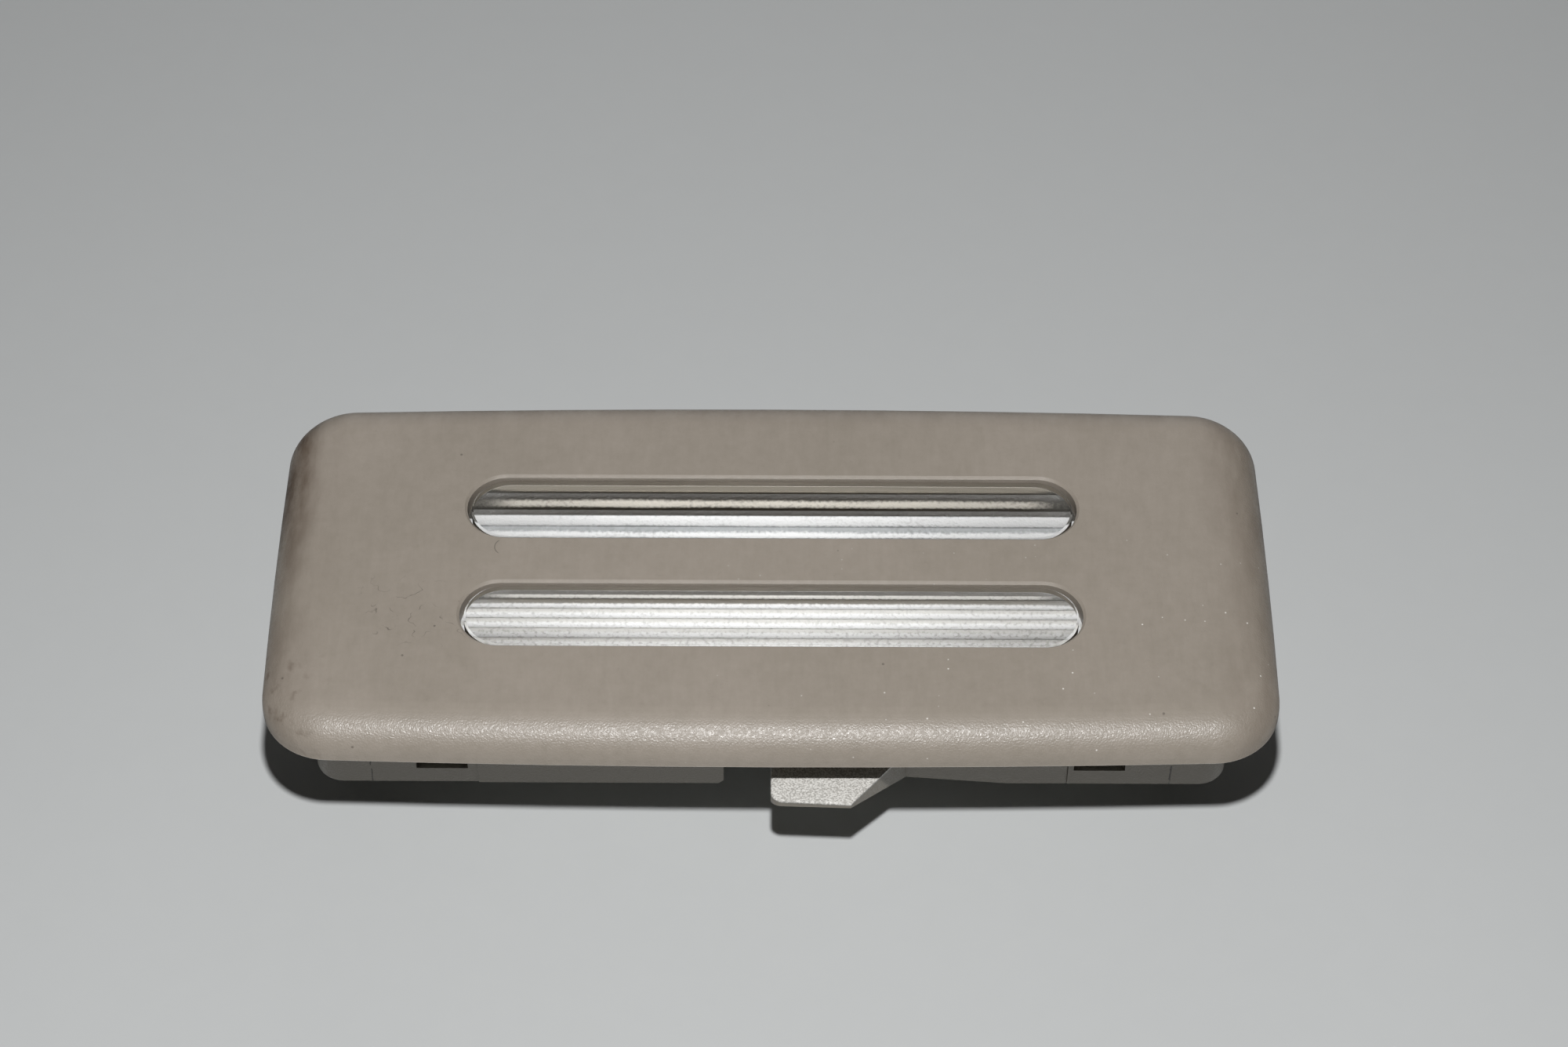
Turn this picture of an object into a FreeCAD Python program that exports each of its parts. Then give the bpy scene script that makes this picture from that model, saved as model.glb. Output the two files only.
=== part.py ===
"""Courtesy lamp for a headlining: grained cover with a sprung latch, fluted lens, carrier and bulb.

Millimetres. The origin is the centre of the rim's seating plane, which lies on the headlining. +Z leaves
the face, +X runs along the lamp and the latch is on the -Y side.
"""
import FreeCAD, Part
import math
import os

import Sketcher
from FreeCAD import Placement, Rotation, Vector

# Driving dimensions, one sheet cell each.
SIZES = {
    # Cover: face, rim and skirt
    "cover_length": 98.0,
    "cover_width": 43.8,
    "rim_height": 4.6,
    "corner_radius": 6.8,
    "long_side_radius": 1400.0,
    "short_side_radius": 735.0,
    "edge_radius": 3.75,
    "fascia_wall": 2.0,
    "rim_wall": 1.8,
    "skirt_length": 89.0,
    "skirt_width": 34.0,
    "skirt_depth": 9.0,
    "skirt_wall": 1.6,
    "skirt_corner_radius": 2.8,
    # Windows in the face
    "window_length": 60.4,
    "window_width": 7.8,
    "window_spacing": 13.6,
    "window_edge": 0.25,
    # Snap windows in the skirt, which hold the carrier
    "snap_spacing": 63.9,
    "snap_width": 5.0,
    "snap_height": 2.2,
    "snap_sill": 6.9,
    # Raised panel left of the latch
    "panel_start": 28.5,
    "panel_rise": 0.12,
    # Rigid lugs on the far wall
    "headlining_gap": 4.0,
    "lug_spacing": 44.0,
    "lug_width": 8.0,
    "lug_reach": 3.0,
    "lug_depth": 3.0,
    "lug_nose": 0.8,
    # Sprung latch in the near wall
    "latch_root": 28.5,
    "latch_reach": 28.5,
    "latch_opening": 33.1,
    "latch_top": 3.0,
    "latch_taper": 5.5,
    "latch_clearance": 0.4,
    "opening_bevel": 0.5,
    "hinge_clearance": 0.1,
    "tab_reach": 5.9,
    "tab_width": 7.7,
    "tab_root_width": 13.15,
    "tab_skew": 0.4,
    "tab_nose": 0.6,
    "tab_depth": 4.0,
    "tab_corner_radius": 1.2,
    "tab_edge": 0.25,
    # Lens
    "lens_wall": 2.0,
    "lens_flange": 2.4,
    "lens_clearance": 0.12,
    "lens_end_clearance": 0.4,
    "lens_recess": 0.35,
    "lens_edge": 0.2,
    "flute_rise": 0.3,
    "flute_shift": 0.63,
    "far_pitch": 2.2,
    "near_pitch": 1.22,
    # Bulb carrier
    "carrier_clearance": 0.3,
    "carrier_wall": 1.2,
    "carrier_depth": 11.5,
    "deck_wall": 1.5,
    "basin_margin": 0.3,
    "basin_corner_radius": 1.6,
    "slot_length": 41.0,
    "slot_width": 11.8,
    "rail_wall": 1.0,
    "rail_lip": 0.4,
    "tower_length": 11.0,
    "tower_width": 15.0,
    "tower_depth": 4.5,
    "tongue_wall": 1.2,
    "snap_reach": 1.3,
    "snap_lip": 0.6,
    # Two-pole socket
    "socket_length": 9.5,
    "socket_width": 11.0,
    "socket_height": 7.0,
    "socket_wall": 1.2,
    "socket_floor": 1.5,
    # Brass contacts
    "contact_wall": 0.5,
    "contact_bend": 0.4,
    "leaf_width": 7.8,
    "leaf_setback": 0.7,
    "foot_length": 11.7,
    "strip_width": 2.4,
    "blade_width": 2.8,
    "blade_spacing": 4.4,
    "blade_end": 39.5,
    "slip_clearance": 0.15,
    "stake_radius": 0.9,
    "stake_head_radius": 1.6,
    "stake_head_height": 0.7,
    "stake_taper": 30.0,
    "stake_inner": 23.0,
    "stake_outer": 27.5,
    # Festoon bulb
    "bulb_drop": 6.2,
    "bulb_length": 36.0,
    "bulb_diameter": 10.5,
    "glass_wall": 0.6,
    "glass_length": 27.0,
    "neck_length": 2.3,
    "shoulder_length": 2.7,
    "cap_diameter": 8.5,
    "cap_length": 6.5,
    "cap_cone": 2.2,
    "cap_tip_radius": 1.2,
    "cap_wall": 0.45,
    "cement_gap": 0.1,
    "filament_sag": 1.2,
    "filament_radius": 0.22,
}
FAR_FLUTES = 4
NEAR_FLUTES = 7
SHEET = "Sizes"
EDGE_TOLERANCE = 1e-4
BOTH_SIDES = (1, -1)


class Size:
    """A length with its number and the sheet formula that gives it, so both follow one expression."""

    def __init__(self, value, text):
        self.value = value
        self.text = text

    @staticmethod
    def of(other):
        """Returns other as a Size, whether it is one already or a plain number."""
        if isinstance(other, Size):
            return other
        return Size(float(other), repr(float(other)))

    def __add__(self, other):
        other = Size.of(other)
        return Size(self.value + other.value, f"({self.text} + {other.text})")

    def __sub__(self, other):
        other = Size.of(other)
        return Size(self.value - other.value, f"({self.text} - {other.text})")

    def __mul__(self, other):
        other = Size.of(other)
        return Size(self.value * other.value, f"({self.text} * {other.text})")

    def __truediv__(self, other):
        other = Size.of(other)
        return Size(self.value / other.value, f"({self.text} / {other.text})")

    def __radd__(self, other):
        return Size.of(other) + self

    def __rsub__(self, other):
        return Size.of(other) - self

    def __rmul__(self, other):
        return Size.of(other) * self

    def __neg__(self):
        return Size(-self.value, f"(0 - {self.text})")


class Sizes:
    """The driving dimensions by name, each as a Size tied to its sheet cell."""

    def __init__(self, doc):
        sheet = doc.addObject("Spreadsheet::Sheet", SHEET)
        for row, (alias, number) in enumerate(SIZES.items(), start=1):
            sheet.set(f"A{row}", alias)
            sheet.set(f"B{row}", str(number))
            sheet.setAlias(f"B{row}", alias)
            setattr(self, alias, Size(number, f"{SHEET}.{alias}"))
        doc.recompute()


ZERO = Size.of(0)


class Drawing:
    """A sketch on one of a body's origin planes, with every point held by sheet formulas."""

    def __init__(self, body, name, plane, offset=ZERO):
        support = next(f for f in body.Origin.OriginFeatures if f.Role == plane)
        self.sketch = body.newObject("Sketcher::SketchObject", name)
        self.sketch.AttachmentSupport = [(support, "")]
        self.sketch.MapMode = "FlatFace"
        self.sketch.AttachmentOffset = Placement(Vector(0, 0, offset.value), Rotation())
        self.sketch.setExpression("AttachmentOffset.Base.z", offset.text)

    def hold(self, kind, *where, size):
        """Adds one dimension and ties it to its formula."""
        index = self.sketch.addConstraint(Sketcher.Constraint(kind, *where, size.value))
        self.sketch.setExpression(f"Constraints[{index}]", size.text)

    def hold_point(self, geometry, point, place):
        """Holds a point of the geometry at a pair of Sizes from the sketch's origin."""
        self.hold("DistanceX", -1, 1, geometry, point, size=Size.of(place[0]))
        self.hold("DistanceY", -1, 1, geometry, point, size=Size.of(place[1]))

    def join(self, first, last):
        """Makes each piece tangent to the next where they meet, round the closed loop."""
        count = last - first
        for step in range(count):
            after = first + (step + 1) % count
            self.sketch.addConstraint(Sketcher.Constraint("Tangent", first + step, 2, after, 1))

    def loop(self, points, bows=(), closed=True):
        """Draws sides through the points, back to the first where closed, with arcs on the sides in bows.

        bows pairs a side's number with its radius. The arc bulges right of the way along the outline.
        """
        places = [(Size.of(x), Size.of(y)) for x, y in points]
        spots = [Vector(x.value, y.value, 0) for x, y in places]
        count = len(places)
        sides = count if closed else count - 1
        radii = dict(bows)
        first = self.sketch.GeometryCount
        for i in range(sides):
            ends = spots[i], spots[(i + 1) % count]
            side = right_arc(*ends, radii[i].value) if i in radii else Part.LineSegment(*ends)
            self.sketch.addGeometry(side, False)
            self.hold_point(first + i, 1, places[i])
        for i in range(count if closed else sides - 1):
            self.sketch.addConstraint(
                Sketcher.Constraint("Coincident", first + i, 2, first + (i + 1) % count, 1)
            )
        if not closed:
            self.hold_point(first + sides - 1, 2, places[-1])
        for i, radius in radii.items():
            self.hold("Radius", first + i, size=radius)

    def hull(self, centres, radius):
        """Draws the outline round equal circles, anticlockwise: an obround or a rounded box."""
        places = [(Size.of(x), Size.of(y)) for x, y in centres]
        spots = [Vector(x.value, y.value, 0) for x, y in places]
        count = len(spots)
        first = self.sketch.GeometryCount
        for i, spot in enumerate(spots):
            into = spot - spots[i - 1]
            out = spots[(i + 1) % count] - spot
            start = math.atan2(into.y, into.x) - math.pi / 2
            end = math.atan2(out.y, out.x) - math.pi / 2
            circle = Part.Circle(spot, Vector(0, 0, 1), radius.value)
            self.sketch.addGeometry(Part.ArcOfCircle(circle, start, end), False)
            reach = Vector(math.cos(end), math.sin(end), 0) * radius.value
            self.sketch.addGeometry(Part.LineSegment(spot + reach, spots[(i + 1) % count] + reach), False)
        self.join(first, self.sketch.GeometryCount)
        for i, place in enumerate(places):
            self.hold_point(first + 2 * i, 3, place)
            self.hold("Radius", first + 2 * i, size=radius)

    def box(self, half_length, half_width, radius):
        """Draws a rounded rectangle about the sketch's origin."""
        x = half_length - radius
        y = half_width - radius
        self.hull([(x, -y), (x, y), (-x, y), (-x, -y)], radius)

    def rectangle(self, x_from, x_to, y_from, y_to):
        """Draws a sharp rectangle between two corners."""
        self.loop([(x_from, y_from), (x_to, y_from), (x_to, y_to), (x_from, y_to)])

    def circle(self, centre, radius):
        """Draws a full circle."""
        x, y = Size.of(centre[0]), Size.of(centre[1])
        spot = Vector(x.value, y.value, 0)
        index = self.sketch.addGeometry(Part.Circle(spot, Vector(0, 0, 1), radius.value), False)
        self.hold_point(index, 3, (x, y))
        self.hold("Radius", index, size=radius)

    def bowed_box(self, length, width, radius, long_radius, short_radius):
        """Draws a rounded rectangle whose four sides bow outwards, tangent to the corner arcs."""
        half_x, half_y = length.value / 2, width.value / 2
        long_centre = Vector(0, half_y - long_radius.value, 0)
        short_centre = Vector(half_x - short_radius.value, 0, 0)
        corner = two_circles(
            long_centre, long_radius.value - radius.value, short_centre, short_radius.value - radius.value
        )
        to_long = math.atan2(corner.y - long_centre.y, corner.x)
        to_short = math.atan2(corner.y, corner.x - short_centre.x)
        first = self.sketch.GeometryCount
        quarter = math.pi / 2
        sides = [
            (Vector(-short_centre.x, 0, 0), short_radius, math.pi, to_short),
            (Vector(0, -long_centre.y, 0), long_radius, 3 * quarter, quarter - to_long),
            (short_centre, short_radius, 0.0, to_short),
            (long_centre, long_radius, quarter, quarter - to_long),
        ]
        for i, (centre, side_radius, middle, spread) in enumerate(sides):
            next_middle, next_spread = sides[(i + 1) % 4][2:]
            circle = Part.Circle(centre, Vector(0, 0, 1), side_radius.value)
            self.sketch.addGeometry(Part.ArcOfCircle(circle, middle - spread, middle + spread), False)
            turn = middle + quarter / 2
            spot_x = math.copysign(corner.x, math.cos(turn))
            spot_y = math.copysign(corner.y, math.sin(turn))
            spot = Vector(spot_x, spot_y, 0)
            circle = Part.Circle(spot, Vector(0, 0, 1), radius.value)
            arc = Part.ArcOfCircle(circle, middle + spread, next_middle - next_spread)
            self.sketch.addGeometry(arc, False)
        self.join(first, self.sketch.GeometryCount)
        reach_x = length / 2 - short_radius
        reach_y = width / 2 - long_radius
        centres = [(-reach_x, ZERO), (ZERO, -reach_y), (reach_x, ZERO), (ZERO, reach_y)]
        for i, place in enumerate(centres):
            self.hold_point(first + 2 * i, 3, place)
            self.hold("Radius", first + 2 * i, size=sides[i][1])
            self.hold("Radius", first + 2 * i + 1, size=radius)


def two_circles(first, first_radius, second, second_radius):
    """Returns the point in the positive quarter where two circles cross."""
    gap = second - first
    along = (first_radius**2 - second_radius**2 + gap.Length**2) / (2 * gap.Length)
    aside = math.sqrt(first_radius**2 - along**2)
    unit = gap / gap.Length
    spots = [first + unit * along + Vector(-unit.y, unit.x, 0) * side * aside for side in BOTH_SIDES]
    return max(spots, key=lambda spot: min(spot.x, spot.y))


def right_arc(start, end, radius):
    """Returns the short arc between two points that bulges to the right of the way."""
    chord = end - start
    right = Vector(chord.y, -chord.x, 0) / chord.Length
    rise = radius - math.sqrt(radius**2 - (chord.Length / 2) ** 2)
    return Part.ArcOfCircle(start, (start + end) / 2 + right * rise, end)


class Piece:
    """One body of the lamp, with a short call for each feature."""

    def __init__(self, doc, label):
        self.doc = doc
        self.body = doc.addObject("PartDesign::Body", label)
        self.body.Label = label
        self.made = 0

    def draw(self, plane, offset=ZERO):
        """Starts a sketch on an origin plane, moved along the plane's normal."""
        self.made += 1
        return Drawing(self.body, f"{self.body.Name}_sketch_{self.made}", plane, offset)

    def feature(self, kind, drawing, **settings):
        """Adds a feature made from a sketch; a Size is tied to its formula."""
        self.made += 1
        made = self.body.newObject(f"PartDesign::{kind}", f"{self.body.Name}_{kind.lower()}_{self.made}")
        made.Profile = drawing.sketch
        for key, setting in settings.items():
            if isinstance(setting, Size):
                setattr(made, key, setting.value)
                made.setExpression(key, setting.text)
            else:
                setattr(made, key, setting)
        self.doc.recompute()
        return made

    def pad(self, drawing, length, reverse=False, middle=False):
        """Raises a sketch into a solid."""
        side = "Symmetric" if middle else "One side"
        self.feature("Pad", drawing, Length=length, Reversed=reverse, SideType=side)

    def cut(self, drawing, length=None, reverse=False, middle=False):
        """Cuts a sketch away, right through where no length is given, and checks that it took something."""
        before = self.body.Shape.Volume
        settings = {"Type": "ThroughAll"} if length is None else {"Length": length}
        side = "Symmetric" if middle else "One side"
        self.feature("Pocket", drawing, Reversed=reverse, SideType=side, **settings)
        if self.body.Shape.Volume >= before:
            raise RuntimeError(f"a cut in {self.body.Label} removed nothing")

    def dress(self, kind, key, size, chosen):
        """Rounds or bevels the edges that chosen accepts."""
        edges = [f"Edge{i}" for i, edge in enumerate(self.body.Shape.Edges, start=1) if chosen(edge)]
        base = self.body.Tip
        self.made += 1
        made = self.body.newObject(f"PartDesign::{kind}", f"{self.body.Name}_{kind.lower()}_{self.made}")
        made.Base = (base, edges)
        setattr(made, key, size.value)
        made.setExpression(key, size.text)
        self.doc.recompute()

    def round(self, size, chosen):
        """Fillets the chosen edges."""
        self.dress("Fillet", "Radius", size, chosen)

    def bevel(self, size, chosen):
        """Chamfers the chosen edges."""
        self.dress("Chamfer", "Size", size, chosen)

    def place(self, z):
        """Moves the whole body along Z."""
        self.body.Placement = Placement(Vector(0, 0, z.value), Rotation())
        self.body.setExpression("Placement.Base.z", z.text)


def near(first, second):
    """Says whether two numbers are the same for picking edges."""
    return abs(first - second) < EDGE_TOLERANCE


def level_at(height):
    """Picks the edges that lie in a level plane."""
    return lambda edge: near(edge.BoundBox.ZMin, height) and near(edge.BoundBox.ZMax, height)


def upright_at(x, y):
    """Picks the vertical edge through one point of the plan."""

    def chosen(edge):
        box = edge.BoundBox
        upright = near(box.XMin, box.XMax) and near(box.YMin, box.YMax)
        return upright and near(box.XMin, x) and near(box.YMin, y)

    return chosen


def obround(drawing, centre_y, length, width):
    """Draws a window-shaped outline, round-ended along X."""
    reach = (length - width) / 2
    drawing.hull([(-reach, centre_y), (reach, centre_y)], width / 2)


def make_cover(doc, s):
    """Face, bullnose rim and skirt in one moulding, open behind."""
    piece = Piece(doc, "cover")
    outline = piece.draw("XY_Plane")
    outline.bowed_box(
        s.cover_length, s.cover_width, s.corner_radius, s.long_side_radius, s.short_side_radius
    )
    piece.pad(outline, s.rim_height)
    piece.round(s.edge_radius, level_at(s.rim_height.value))

    hollow = s.rim_height - s.fascia_wall
    channel = piece.draw("XY_Plane")
    channel.bowed_box(
        s.cover_length - 2 * s.rim_wall,
        s.cover_width - 2 * s.rim_wall,
        s.corner_radius - s.rim_wall,
        s.long_side_radius,
        s.short_side_radius,
    )
    piece.cut(channel, hollow, reverse=True)

    skirt = piece.draw("XY_Plane", -s.skirt_depth)
    half_length, half_width = s.skirt_length / 2, s.skirt_width / 2
    skirt.box(half_length, half_width, s.skirt_corner_radius)
    skirt.box(half_length - s.skirt_wall, half_width - s.skirt_wall, s.skirt_corner_radius - s.skirt_wall)
    piece.pad(skirt, s.skirt_depth + hollow)

    windows = piece.draw("XY_Plane")
    for side in BOTH_SIDES:
        obround(windows, side * s.window_spacing / 2, s.window_length, s.window_width)
    piece.cut(windows, reverse=True)
    windows_reach = (s.window_spacing + s.window_width).value / 2

    def window_edge(edge):
        reach = max(abs(edge.BoundBox.YMin), abs(edge.BoundBox.YMax))
        return reach < windows_reach + EDGE_TOLERANCE and level_at(s.rim_height.value)(edge)

    piece.bevel(s.window_edge, window_edge)

    snaps = piece.draw("XZ_Plane")
    for side in BOTH_SIDES:
        middle = side * s.snap_spacing / 2
        half = s.snap_width / 2
        snaps.rectangle(middle - half, middle + half, -s.snap_sill, s.snap_height - s.snap_sill)
    piece.cut(snaps, middle=True)

    for side in BOTH_SIDES:
        lug = piece.draw("YZ_Plane", side * s.lug_spacing / 2)
        draw_lug(lug, s)
        piece.pad(lug, s.lug_width, middle=True)

    opening_end = s.latch_root - s.latch_opening
    panel = piece.draw("XZ_Plane", half_width - s.skirt_wall / 2)
    panel.rectangle(-s.panel_start, opening_end, -s.skirt_depth, hollow)
    piece.pad(panel, s.skirt_wall / 2 + s.panel_rise)

    opening = piece.draw("XY_Plane", -s.skirt_depth)
    opening.rectangle(opening_end, s.latch_root, -half_width - s.skirt_wall, s.skirt_wall - half_width)
    slot_height = s.skirt_depth - s.latch_top + s.latch_clearance
    piece.cut(opening, slot_height, reverse=True)
    bevel = piece.draw("XZ_Plane", half_width + s.panel_rise)
    bevel.loop(
        [
            (opening_end, -s.skirt_depth),
            (opening_end, s.opening_bevel - s.skirt_depth),
            (opening_end - s.opening_bevel, -s.skirt_depth),
        ]
    )
    piece.cut(bevel, s.skirt_wall + s.panel_rise)
    seat = piece.draw("XY_Plane", -s.skirt_depth)
    seat.circle(hinge_place(s), s.skirt_wall / 2 + s.hinge_clearance)
    piece.cut(seat, slot_height, reverse=True)
    return piece.body


def draw_lug(lug, s):
    """Draws a lug's section: flat towards the rim, with a lead-in slope behind."""
    wall = s.skirt_width / 2
    lug.loop(
        [
            (wall - s.skirt_wall / 2, -s.headlining_gap),
            (wall - s.skirt_wall / 2, -s.headlining_gap - s.lug_depth),
            (wall, -s.headlining_gap - s.lug_depth),
            (wall + s.lug_reach, -s.headlining_gap - s.lug_nose),
            (wall + s.lug_reach, -s.headlining_gap),
        ]
    )


def hinge_place(s):
    """Returns the plan position of the latch's hinge line, in the middle of the near wall."""
    return s.latch_root, (s.skirt_wall - s.skirt_width) / 2


def make_latch(doc, s):
    """Sprung arm lying in the near wall, with a round root and a wedge tab at its free end."""
    piece = Piece(doc, "retaining_latch")
    wall = s.skirt_width / 2
    free_end = s.latch_root - s.latch_reach
    tab_foot = -s.headlining_gap - s.tab_depth
    arm = piece.draw("XZ_Plane", wall - s.skirt_wall)
    arm.loop(
        [
            (free_end, -s.latch_top),
            (free_end, tab_foot),
            (free_end + s.tab_root_width, tab_foot),
            (s.latch_root - s.latch_taper, -s.skirt_depth),
            (s.latch_root, -s.skirt_depth),
            (s.latch_root, -s.latch_top),
        ]
    )
    piece.pad(arm, s.skirt_wall)

    root = piece.draw("XY_Plane", -s.skirt_depth)
    root.circle(hinge_place(s), s.skirt_wall / 2)
    piece.pad(root, s.skirt_depth - s.latch_top)

    tip = -wall - s.tab_reach
    furthest = tip - s.tab_skew
    behind = s.skirt_wall / 2 - wall
    tab = piece.draw("XY_Plane", -s.headlining_gap)
    tab.loop(
        [
            (free_end, behind),
            (free_end, tip),
            (free_end + s.tab_width, furthest),
            (free_end + s.tab_root_width, -wall),
            (free_end + s.tab_root_width, behind),
        ]
    )
    piece.pad(tab, s.tab_depth, reverse=True)
    ramp = piece.draw("YZ_Plane")
    ramp.loop([(furthest, -s.headlining_gap - s.tab_nose), (-wall, tab_foot), (furthest, tab_foot)])
    piece.cut(ramp, middle=True)
    piece.round(s.tab_corner_radius, upright_at(free_end.value, tip.value))

    def tip_edge(edge):
        outside = edge.BoundBox.YMax < (-wall).value - EDGE_TOLERANCE
        return outside and level_at(-s.headlining_gap.value)(edge)

    piece.round(s.tab_edge, tip_edge)
    return piece.body


def make_lens(doc, s):
    """Clear plate behind the face, a raised bar in each window and flutes along the underside."""
    piece = Piece(doc, "lens")
    seat = s.rim_height - s.fascia_wall
    half_length = s.window_length / 2 + s.lens_flange
    half_width = (s.window_spacing + s.window_width) / 2 + s.lens_flange
    plate = piece.draw("XY_Plane", seat)
    plate.box(half_length, half_width, s.lens_flange)
    piece.pad(plate, s.lens_wall, reverse=True)

    bar_length = s.window_length - 2 * s.lens_end_clearance
    bars = piece.draw("XY_Plane", seat)
    for side in BOTH_SIDES:
        obround(
            bars,
            side * s.window_spacing / 2,
            bar_length,
            s.window_width - 2 * s.lens_clearance,
        )
    piece.pad(bars, s.fascia_wall - s.lens_recess)
    piece.bevel(s.lens_edge, level_at((s.rim_height - s.lens_recess).value))

    for side, count, pitch in ((1, FAR_FLUTES, s.far_pitch), (-1, NEAR_FLUTES, s.near_pitch)):
        flutes = piece.draw("YZ_Plane")
        draw_flutes(flutes, s, side * (s.window_spacing / 2 - s.flute_shift), count, pitch)
        piece.pad(flutes, bar_length, middle=True)
    return piece.body


def draw_flutes(flutes, s, centre, count, pitch):
    """Draws a row of round ribs that hang from the plate's underside, behind one window."""
    underside = s.rim_height - s.fascia_wall - s.lens_wall
    inside = underside + s.lens_wall / 2
    # An arc of chord pitch and rise flute_rise
    radius = (pitch * pitch / 4 + s.flute_rise * s.flute_rise) / (2 * s.flute_rise)
    edges = [(centre + pitch * (i - count / 2), underside) for i in range(count + 1)]
    points = edges + [(edges[-1][0], inside), (edges[0][0], inside)]
    flutes.loop(points, [(i, radius) for i in range(count)])


def make_carrier(doc, s):
    """White moulding behind the lens: deck, sloped basin, rails, guard towers, socket and snap tongues."""
    piece = Piece(doc, "bulb_carrier")
    top = s.rim_height - s.fascia_wall - s.lens_wall
    deck_foot = top - s.deck_wall
    floor = -s.carrier_depth
    half_length = s.skirt_length / 2 - s.skirt_wall - s.carrier_clearance
    half_width = s.skirt_width / 2 - s.skirt_wall - s.carrier_clearance
    deck = piece.draw("XY_Plane", top)
    deck.box(half_length, half_width, s.skirt_corner_radius - s.skirt_wall)
    piece.pad(deck, s.deck_wall, reverse=True)

    mouth_length = s.window_length / 2 + s.basin_margin
    mouth_width = (s.window_spacing + s.window_width) / 2 + s.basin_margin
    outer_top = piece.draw("XY_Plane", deck_foot)
    outer_radius = s.basin_corner_radius + s.carrier_wall
    outer_top.box(mouth_length + s.carrier_wall, mouth_width + s.carrier_wall, outer_radius)
    outer_foot = piece.draw("XY_Plane", floor)
    outer_foot.box(s.slot_length / 2 + s.carrier_wall, s.slot_width / 2 + s.carrier_wall, outer_radius)
    piece.feature("AdditiveLoft", outer_top, Sections=[outer_foot.sketch])

    tower_end = s.slot_length / 2 + s.tower_length
    rails = piece.draw("XY_Plane", floor)
    rails.box(tower_end, strip_sides(s)[1] + s.rail_lip, s.carrier_wall)
    piece.pad(rails, s.rail_wall)

    for side in BOTH_SIDES:
        make_tower(piece, s, side, floor, deck_foot)
    make_socket(piece, s, tower_end, floor, deck_foot)

    inner_top = piece.draw("XY_Plane", top)
    inner_top.box(mouth_length, mouth_width, s.basin_corner_radius)
    inner_foot = piece.draw("XY_Plane", floor)
    inner_foot.box(s.slot_length / 2, s.slot_width / 2, s.basin_corner_radius)
    piece.feature("SubtractiveLoft", inner_top, Sections=[inner_foot.sketch])

    for side_x in BOTH_SIDES:
        for side_y in BOTH_SIDES:
            tongue = piece.draw("YZ_Plane", side_x * s.snap_spacing / 2)
            draw_tongue(tongue, s, side_y, half_width, (top + deck_foot) / 2)
            piece.pad(tongue, s.snap_width - 2 * s.carrier_clearance, middle=True)

    make_stakes(piece, s, floor)
    return piece.body


def make_tower(piece, s, side, floor, deck_foot):
    """Guard wall round a contact's foot, open towards the bulb, and the web that hangs it from the deck."""
    start = side * s.slot_length / 2
    end = start + side * s.tower_length
    half = s.tower_width / 2
    inner = half - s.carrier_wall
    wall = piece.draw("XY_Plane", floor)
    wall.loop(
        [
            (start, -half),
            (end, -half),
            (end, half),
            (start, half),
            (start, inner),
            (end - side * s.carrier_wall, inner),
            (end - side * s.carrier_wall, -inner),
            (start, -inner),
        ]
    )
    piece.pad(wall, s.tower_depth, reverse=True)
    web = piece.draw("XY_Plane", floor)
    web.rectangle(end - side * s.carrier_wall, end, -half, half)
    piece.pad(web, deck_foot - floor)
    # Notch that lets the long strip in under the far wall
    notch = piece.draw("XY_Plane", floor)
    middle = side * s.stake_outer
    half_notch = s.strip_width / 2 + s.slip_clearance
    notch.rectangle(
        middle - half_notch, middle + half_notch, inner - s.slip_clearance, half + s.slip_clearance
    )
    piece.cut(notch, s.contact_wall + s.slip_clearance)


def make_socket(piece, s, tower_end, floor, deck_foot):
    """Two-pole socket with its mouth towards +X, under the skirt's end."""
    middle = floor - s.contact_wall / 2
    half_width = s.socket_width / 2
    half_height = s.socket_height / 2
    mouth = tower_end + s.socket_length
    shroud = piece.draw("YZ_Plane", mouth)
    shroud.rectangle(-half_width, half_width, middle - half_height, middle + half_height)
    piece.pad(shroud, s.socket_length + s.carrier_wall / 2, reverse=True)
    rib = piece.draw("XZ_Plane")
    rib.rectangle(tower_end - s.carrier_wall / 2, mouth, middle, deck_foot)
    piece.pad(rib, s.socket_wall, middle=True)
    cavity = piece.draw("YZ_Plane", mouth)
    cavity.rectangle(
        s.socket_wall - half_width,
        half_width - s.socket_wall,
        middle - half_height + s.socket_wall,
        middle + half_height - s.socket_wall,
    )
    piece.cut(cavity, s.socket_length - s.socket_floor)
    slots = piece.draw("YZ_Plane", mouth)
    half_slot = s.blade_width / 2 + s.slip_clearance
    slot_foot = floor - s.contact_wall - s.slip_clearance
    for side in BOTH_SIDES:
        blade = side * s.blade_spacing / 2
        slots.rectangle(blade - half_slot, blade + half_slot, slot_foot, floor)
    piece.cut(slots, s.socket_length + 2 * s.carrier_wall)


def draw_tongue(tongue, s, side, half_width, root):
    """Draws a snap tongue's section, with its nose in the skirt's window."""
    outer = side * half_width
    inner = outer - side * s.tongue_wall
    nose = outer + side * s.snap_reach
    foot = s.slip_clearance - s.snap_sill
    lip = foot + s.snap_lip
    tongue.loop(
        [
            (inner, root),
            (outer, root),
            (outer, lip + s.snap_reach),
            (nose, lip),
            (nose, foot),
            (inner, foot),
        ]
    )


def strip_sides(s):
    """Returns the inner and outer Y of the long strip, which runs along the outside of the towers."""
    inner = s.tower_width / 2 + 2 * s.slip_clearance
    return inner, inner + s.strip_width


def stake_places(s):
    """Returns the plan positions of the heat stakes, left pair then right pair."""
    right_y = right_foot_middle(s)
    return [
        (-s.stake_inner, ZERO),
        (-s.stake_outer, ZERO),
        (s.stake_inner, right_y),
        (s.stake_outer, right_y),
    ]


def right_foot_middle(s):
    """Returns the Y of the right contact's foot, in line with its blade."""
    return -s.blade_spacing / 2


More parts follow.
